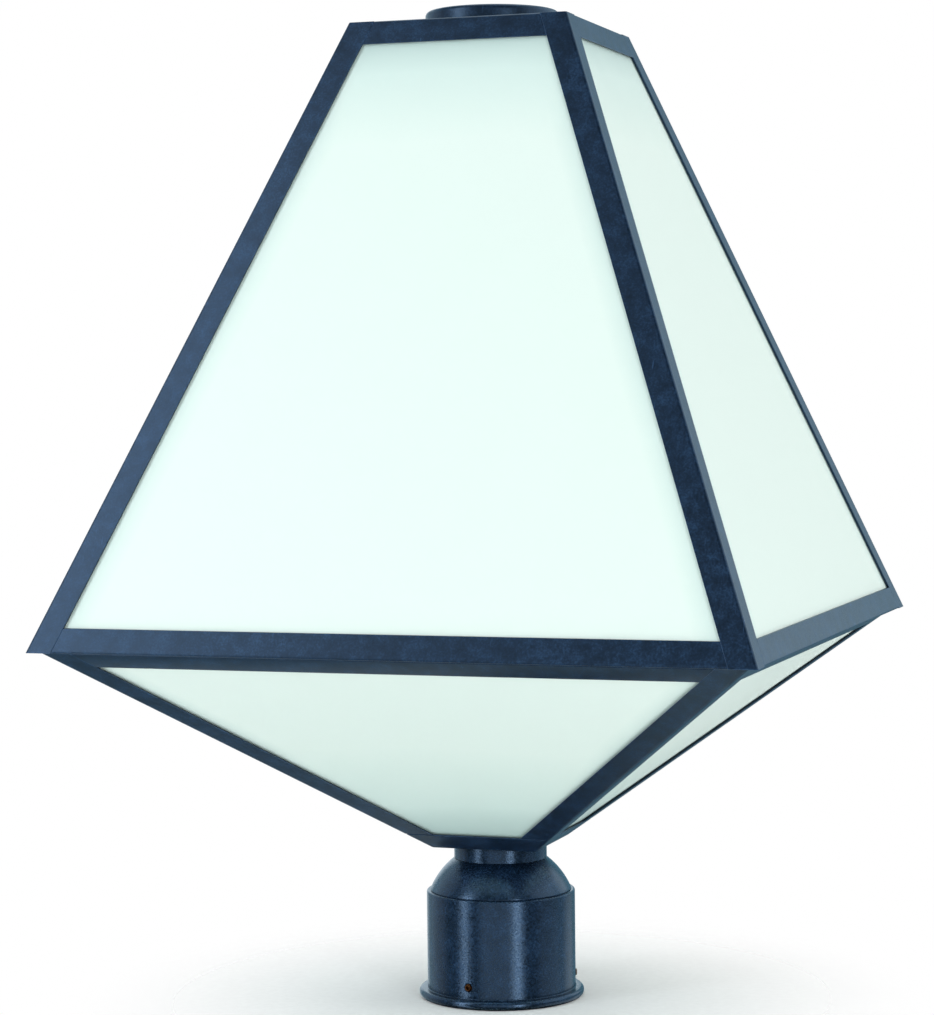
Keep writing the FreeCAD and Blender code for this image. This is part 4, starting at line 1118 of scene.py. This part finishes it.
def make_filament(level):
    """Two nickel lead wires with a coiled filament between them."""
    wire, root, rise, reach, gap = 0.22 * MM, 2 * MM, 13 * MM, 3.2 * MM, 0.8 * MM
    strand, coil_radius, coil_pitch, coil_sides, coil_steps = 0.09 * MM, 0.45 * MM, 0.4 * MM, 6, 12
    pieces = []
    for side in (-1, 1):
        lead = drum("lead", wire, level - root, level + rise, 8)
        last = levels_of(lead)[-1]
        edit(lead, "VERT", lambda point: abs(point.co.z - last) < NEAR, bpy.ops.transform.translate,
             value=(side * (reach - gap), 0, 0))
        settle(lead, (side * gap, 0, 0))
        pieces.append(finish_mesh(lead, 0))
    deselect()
    bpy.ops.mesh.primitive_circle_add(vertices=coil_sides, radius=strand,
                                      location=(coil_radius, 0, -reach))
    bpy.context.object.rotation_euler.x = QUARTER
    coil = named("coil")
    apply_modifier(coil, "SCREW", axis="Z", screw_offset=coil_pitch, steps=coil_steps,
                   render_steps=coil_steps, iterations=int(2 * reach / coil_pitch),
                   use_normal_calculate=True)
    edit(coil, "EDGE", everything, bpy.ops.mesh.fill_holes, sides=coil_sides)
    finish_mesh(coil, 0)
    settle(coil, turn=(0, QUARTER, 0))
    settle(coil, (0, 0, level + rise))
    filament = joined([*pieces, coil])
    filament.name = "lamp_filament"
    return filament


# ---------------------------------------------------------------- studio

def around(turn, tilt, distance, target):
    """A place at a turn from the front and a tilt above the target, and the way there."""
    way = Vector((math.sin(turn) * math.cos(tilt), -math.cos(turn) * math.cos(tilt), math.sin(tilt)))
    return target + way * distance, way


def make_camera():
    """The photograph's viewpoint: a little to the right of the front and just above the middle."""
    place, back = around(VIEW_TURN, VIEW_TILT, VIEW_DISTANCE, VIEW_TARGET)
    right = Vector((0, 0, 1)).cross(back).normalized()
    up = back.cross(right)
    across = right * math.cos(VIEW_ROLL) + up * math.sin(VIEW_ROLL)
    rise = up * math.cos(VIEW_ROLL) - right * math.sin(VIEW_ROLL)
    data = bpy.data.cameras.new("photograph_view")
    data.sensor_fit = "VERTICAL"
    data.sensor_height = SENSOR
    data.lens = SENSOR * VIEW_FOCUS / IMAGE_HEIGHT
    data.shift_x = (IMAGE_WIDTH / 2 - VIEW_CENTRE[0]) / IMAGE_HEIGHT
    data.shift_y = (VIEW_CENTRE[1] - IMAGE_HEIGHT / 2) / IMAGE_HEIGHT
    data.clip_start = NEAR_CLIP
    camera = bpy.data.objects.new("photograph_view", data)
    camera.matrix_world = Matrix((
        (across.x, rise.x, back.x, place.x), (across.y, rise.y, back.y, place.y),
        (across.z, rise.z, back.z, place.z), (0, 0, 0, 1)))
    bpy.context.scene.collection.objects.link(camera)
    bpy.context.scene.camera = camera


def soft_box(name, turn, tilt, size, watts, tint):
    """A soft box that faces the lantern's middle."""
    place, back = around(turn, tilt, SOFT_BOX_DISTANCE, VIEW_TARGET)
    data = bpy.data.lights.new(name, "AREA")
    data.shape = "RECTANGLE"
    data.size, data.size_y = size
    data.energy = watts
    data.color = colour(tint)[:3]
    lamp = bpy.data.objects.new(name, data)
    lamp.location = place
    lamp.rotation_euler = back.to_track_quat("Z", "Y").to_euler()
    lamp.visible_camera = False
    bpy.context.scene.collection.objects.link(lamp)


def make_lights():
    """Two tall strips, a broad high box and a low fill in front; boxes left, right, behind and overhead."""
    for name, turn, tilt, size, watts, tint in SOFT_BOXES:
        soft_box(name, math.radians(turn), math.radians(tilt), size, watts, tint)


def make_world():
    """A white backdrop for the eye, for glass and for gloss, dimmer and bluer in gloss."""
    world = bpy.data.worlds.new("white_studio")
    world.use_nodes = True
    bpy.context.scene.world = world
    tree = world.node_tree
    tree.nodes.clear()
    ray = add(tree, "LightPath").outputs
    way = add(tree, "TexCoord").outputs["Generated"]
    split = add(tree, "SeparateXYZ", {"Vector": way})
    behind = add(tree, "MapRange",
                 {"Value": split.outputs["Y"], "From Min": SKY_TURN[0], "From Max": SKY_TURN[1],
                  "To Min": MIRRORED_SKY[0], "To Max": MIRRORED_SKY[1]}, interpolation_type="SMOOTHSTEP")
    mirrored = add(tree, "Math", {0: ray["Is Glossy Ray"], 1: ray["Is Transmission Ray"]},
                   operation="SUBTRACT")
    glossy = add(tree, "Mix", {0: mirrored.outputs[0], 2: SKY, 3: behind.outputs[0]})
    seen = add(tree, "Math", {0: ray["Is Camera Ray"], 1: ray["Is Transmission Ray"]},
               operation="MAXIMUM")
    strength = add(tree, "Mix", {0: seen.outputs[0], 2: glossy.outputs[0], 3: 1.0})
    tint = add(tree, "Mix", {0: mirrored.outputs[0], 6: colour("#ffffff"), 7: colour("#9adffa")},
               data_type="RGBA")
    light = add(tree, "Background", {"Color": tint.outputs[2], "Strength": strength.outputs[0]})
    add(tree, "OutputWorld", {"Surface": light.outputs[0]})


def make_floor():
    """A plain white floor that melts into the backdrop a little way from the lantern."""
    deselect()
    bpy.ops.mesh.primitive_circle_add(vertices=ROUND, radius=FLOOR_REACH, fill_type="NGON",
                                      location=(0, 0, -FLOOR_DROP))
    floor = named("floor")
    material, tree, place = new_material("matt_white_floor")
    far = add(tree, "VectorMath", {0: place}, operation="LENGTH")
    fade = add(tree, "MapRange",
               {"Value": far.outputs["Value"], "From Min": FLOOR_FADE[0], "From Max": FLOOR_FADE[1]},
               interpolation_type="SMOOTHSTEP")
    ray = add(tree, "LightPath").outputs
    clear = add(tree, "Math", {0: fade.outputs[0], 1: ray["Is Camera Ray"]}, operation="MULTIPLY")
    grain = add(tree, "TexNoise", {"Vector": place, "Scale": 1 / FLOOR_GRAIN})
    tone = set_ramp(add(tree, "ValToRGB", {"Fac": grain.outputs["Fac"]}),
                    [(0.3, "#fafafa"), (0.7, "#ffffff")])
    dull = add(tree, "Mix", {0: ray["Is Glossy Ray"], 6: tone, 7: colour("#3a4048")},
               data_type="RGBA")
    matt = add(tree, "BsdfDiffuse", {"Color": dull.outputs[2]})
    gloss = add(tree, "BsdfGlossy", {"Roughness": FLOOR_POLISH})
    share = add(tree, "Math", {0: ray["Is Glossy Ray"], 1: FLOOR_MIRROR}, operation="MULTIPLY")
    table = add(tree, "MixShader", {0: share.outputs[0], 1: matt.outputs[0], 2: gloss.outputs[0]})
    open_air = add(tree, "BsdfTransparent")
    put_out(tree, add(tree, "MixShader",
                      {0: clear.outputs[0], 1: table.outputs[0], 2: open_air.outputs[0]}))
    floor.data.materials.append(material)


make_cage()
make_bowl()
make_base_ring()
make_panes()
make_roof()
make_rod()
make_fitter()
make_set_screws()
make_stack()
make_lamps()
make_camera()
make_lights()
make_world()
make_floor()
bpy.context.scene.view_settings.view_transform = "Standard"
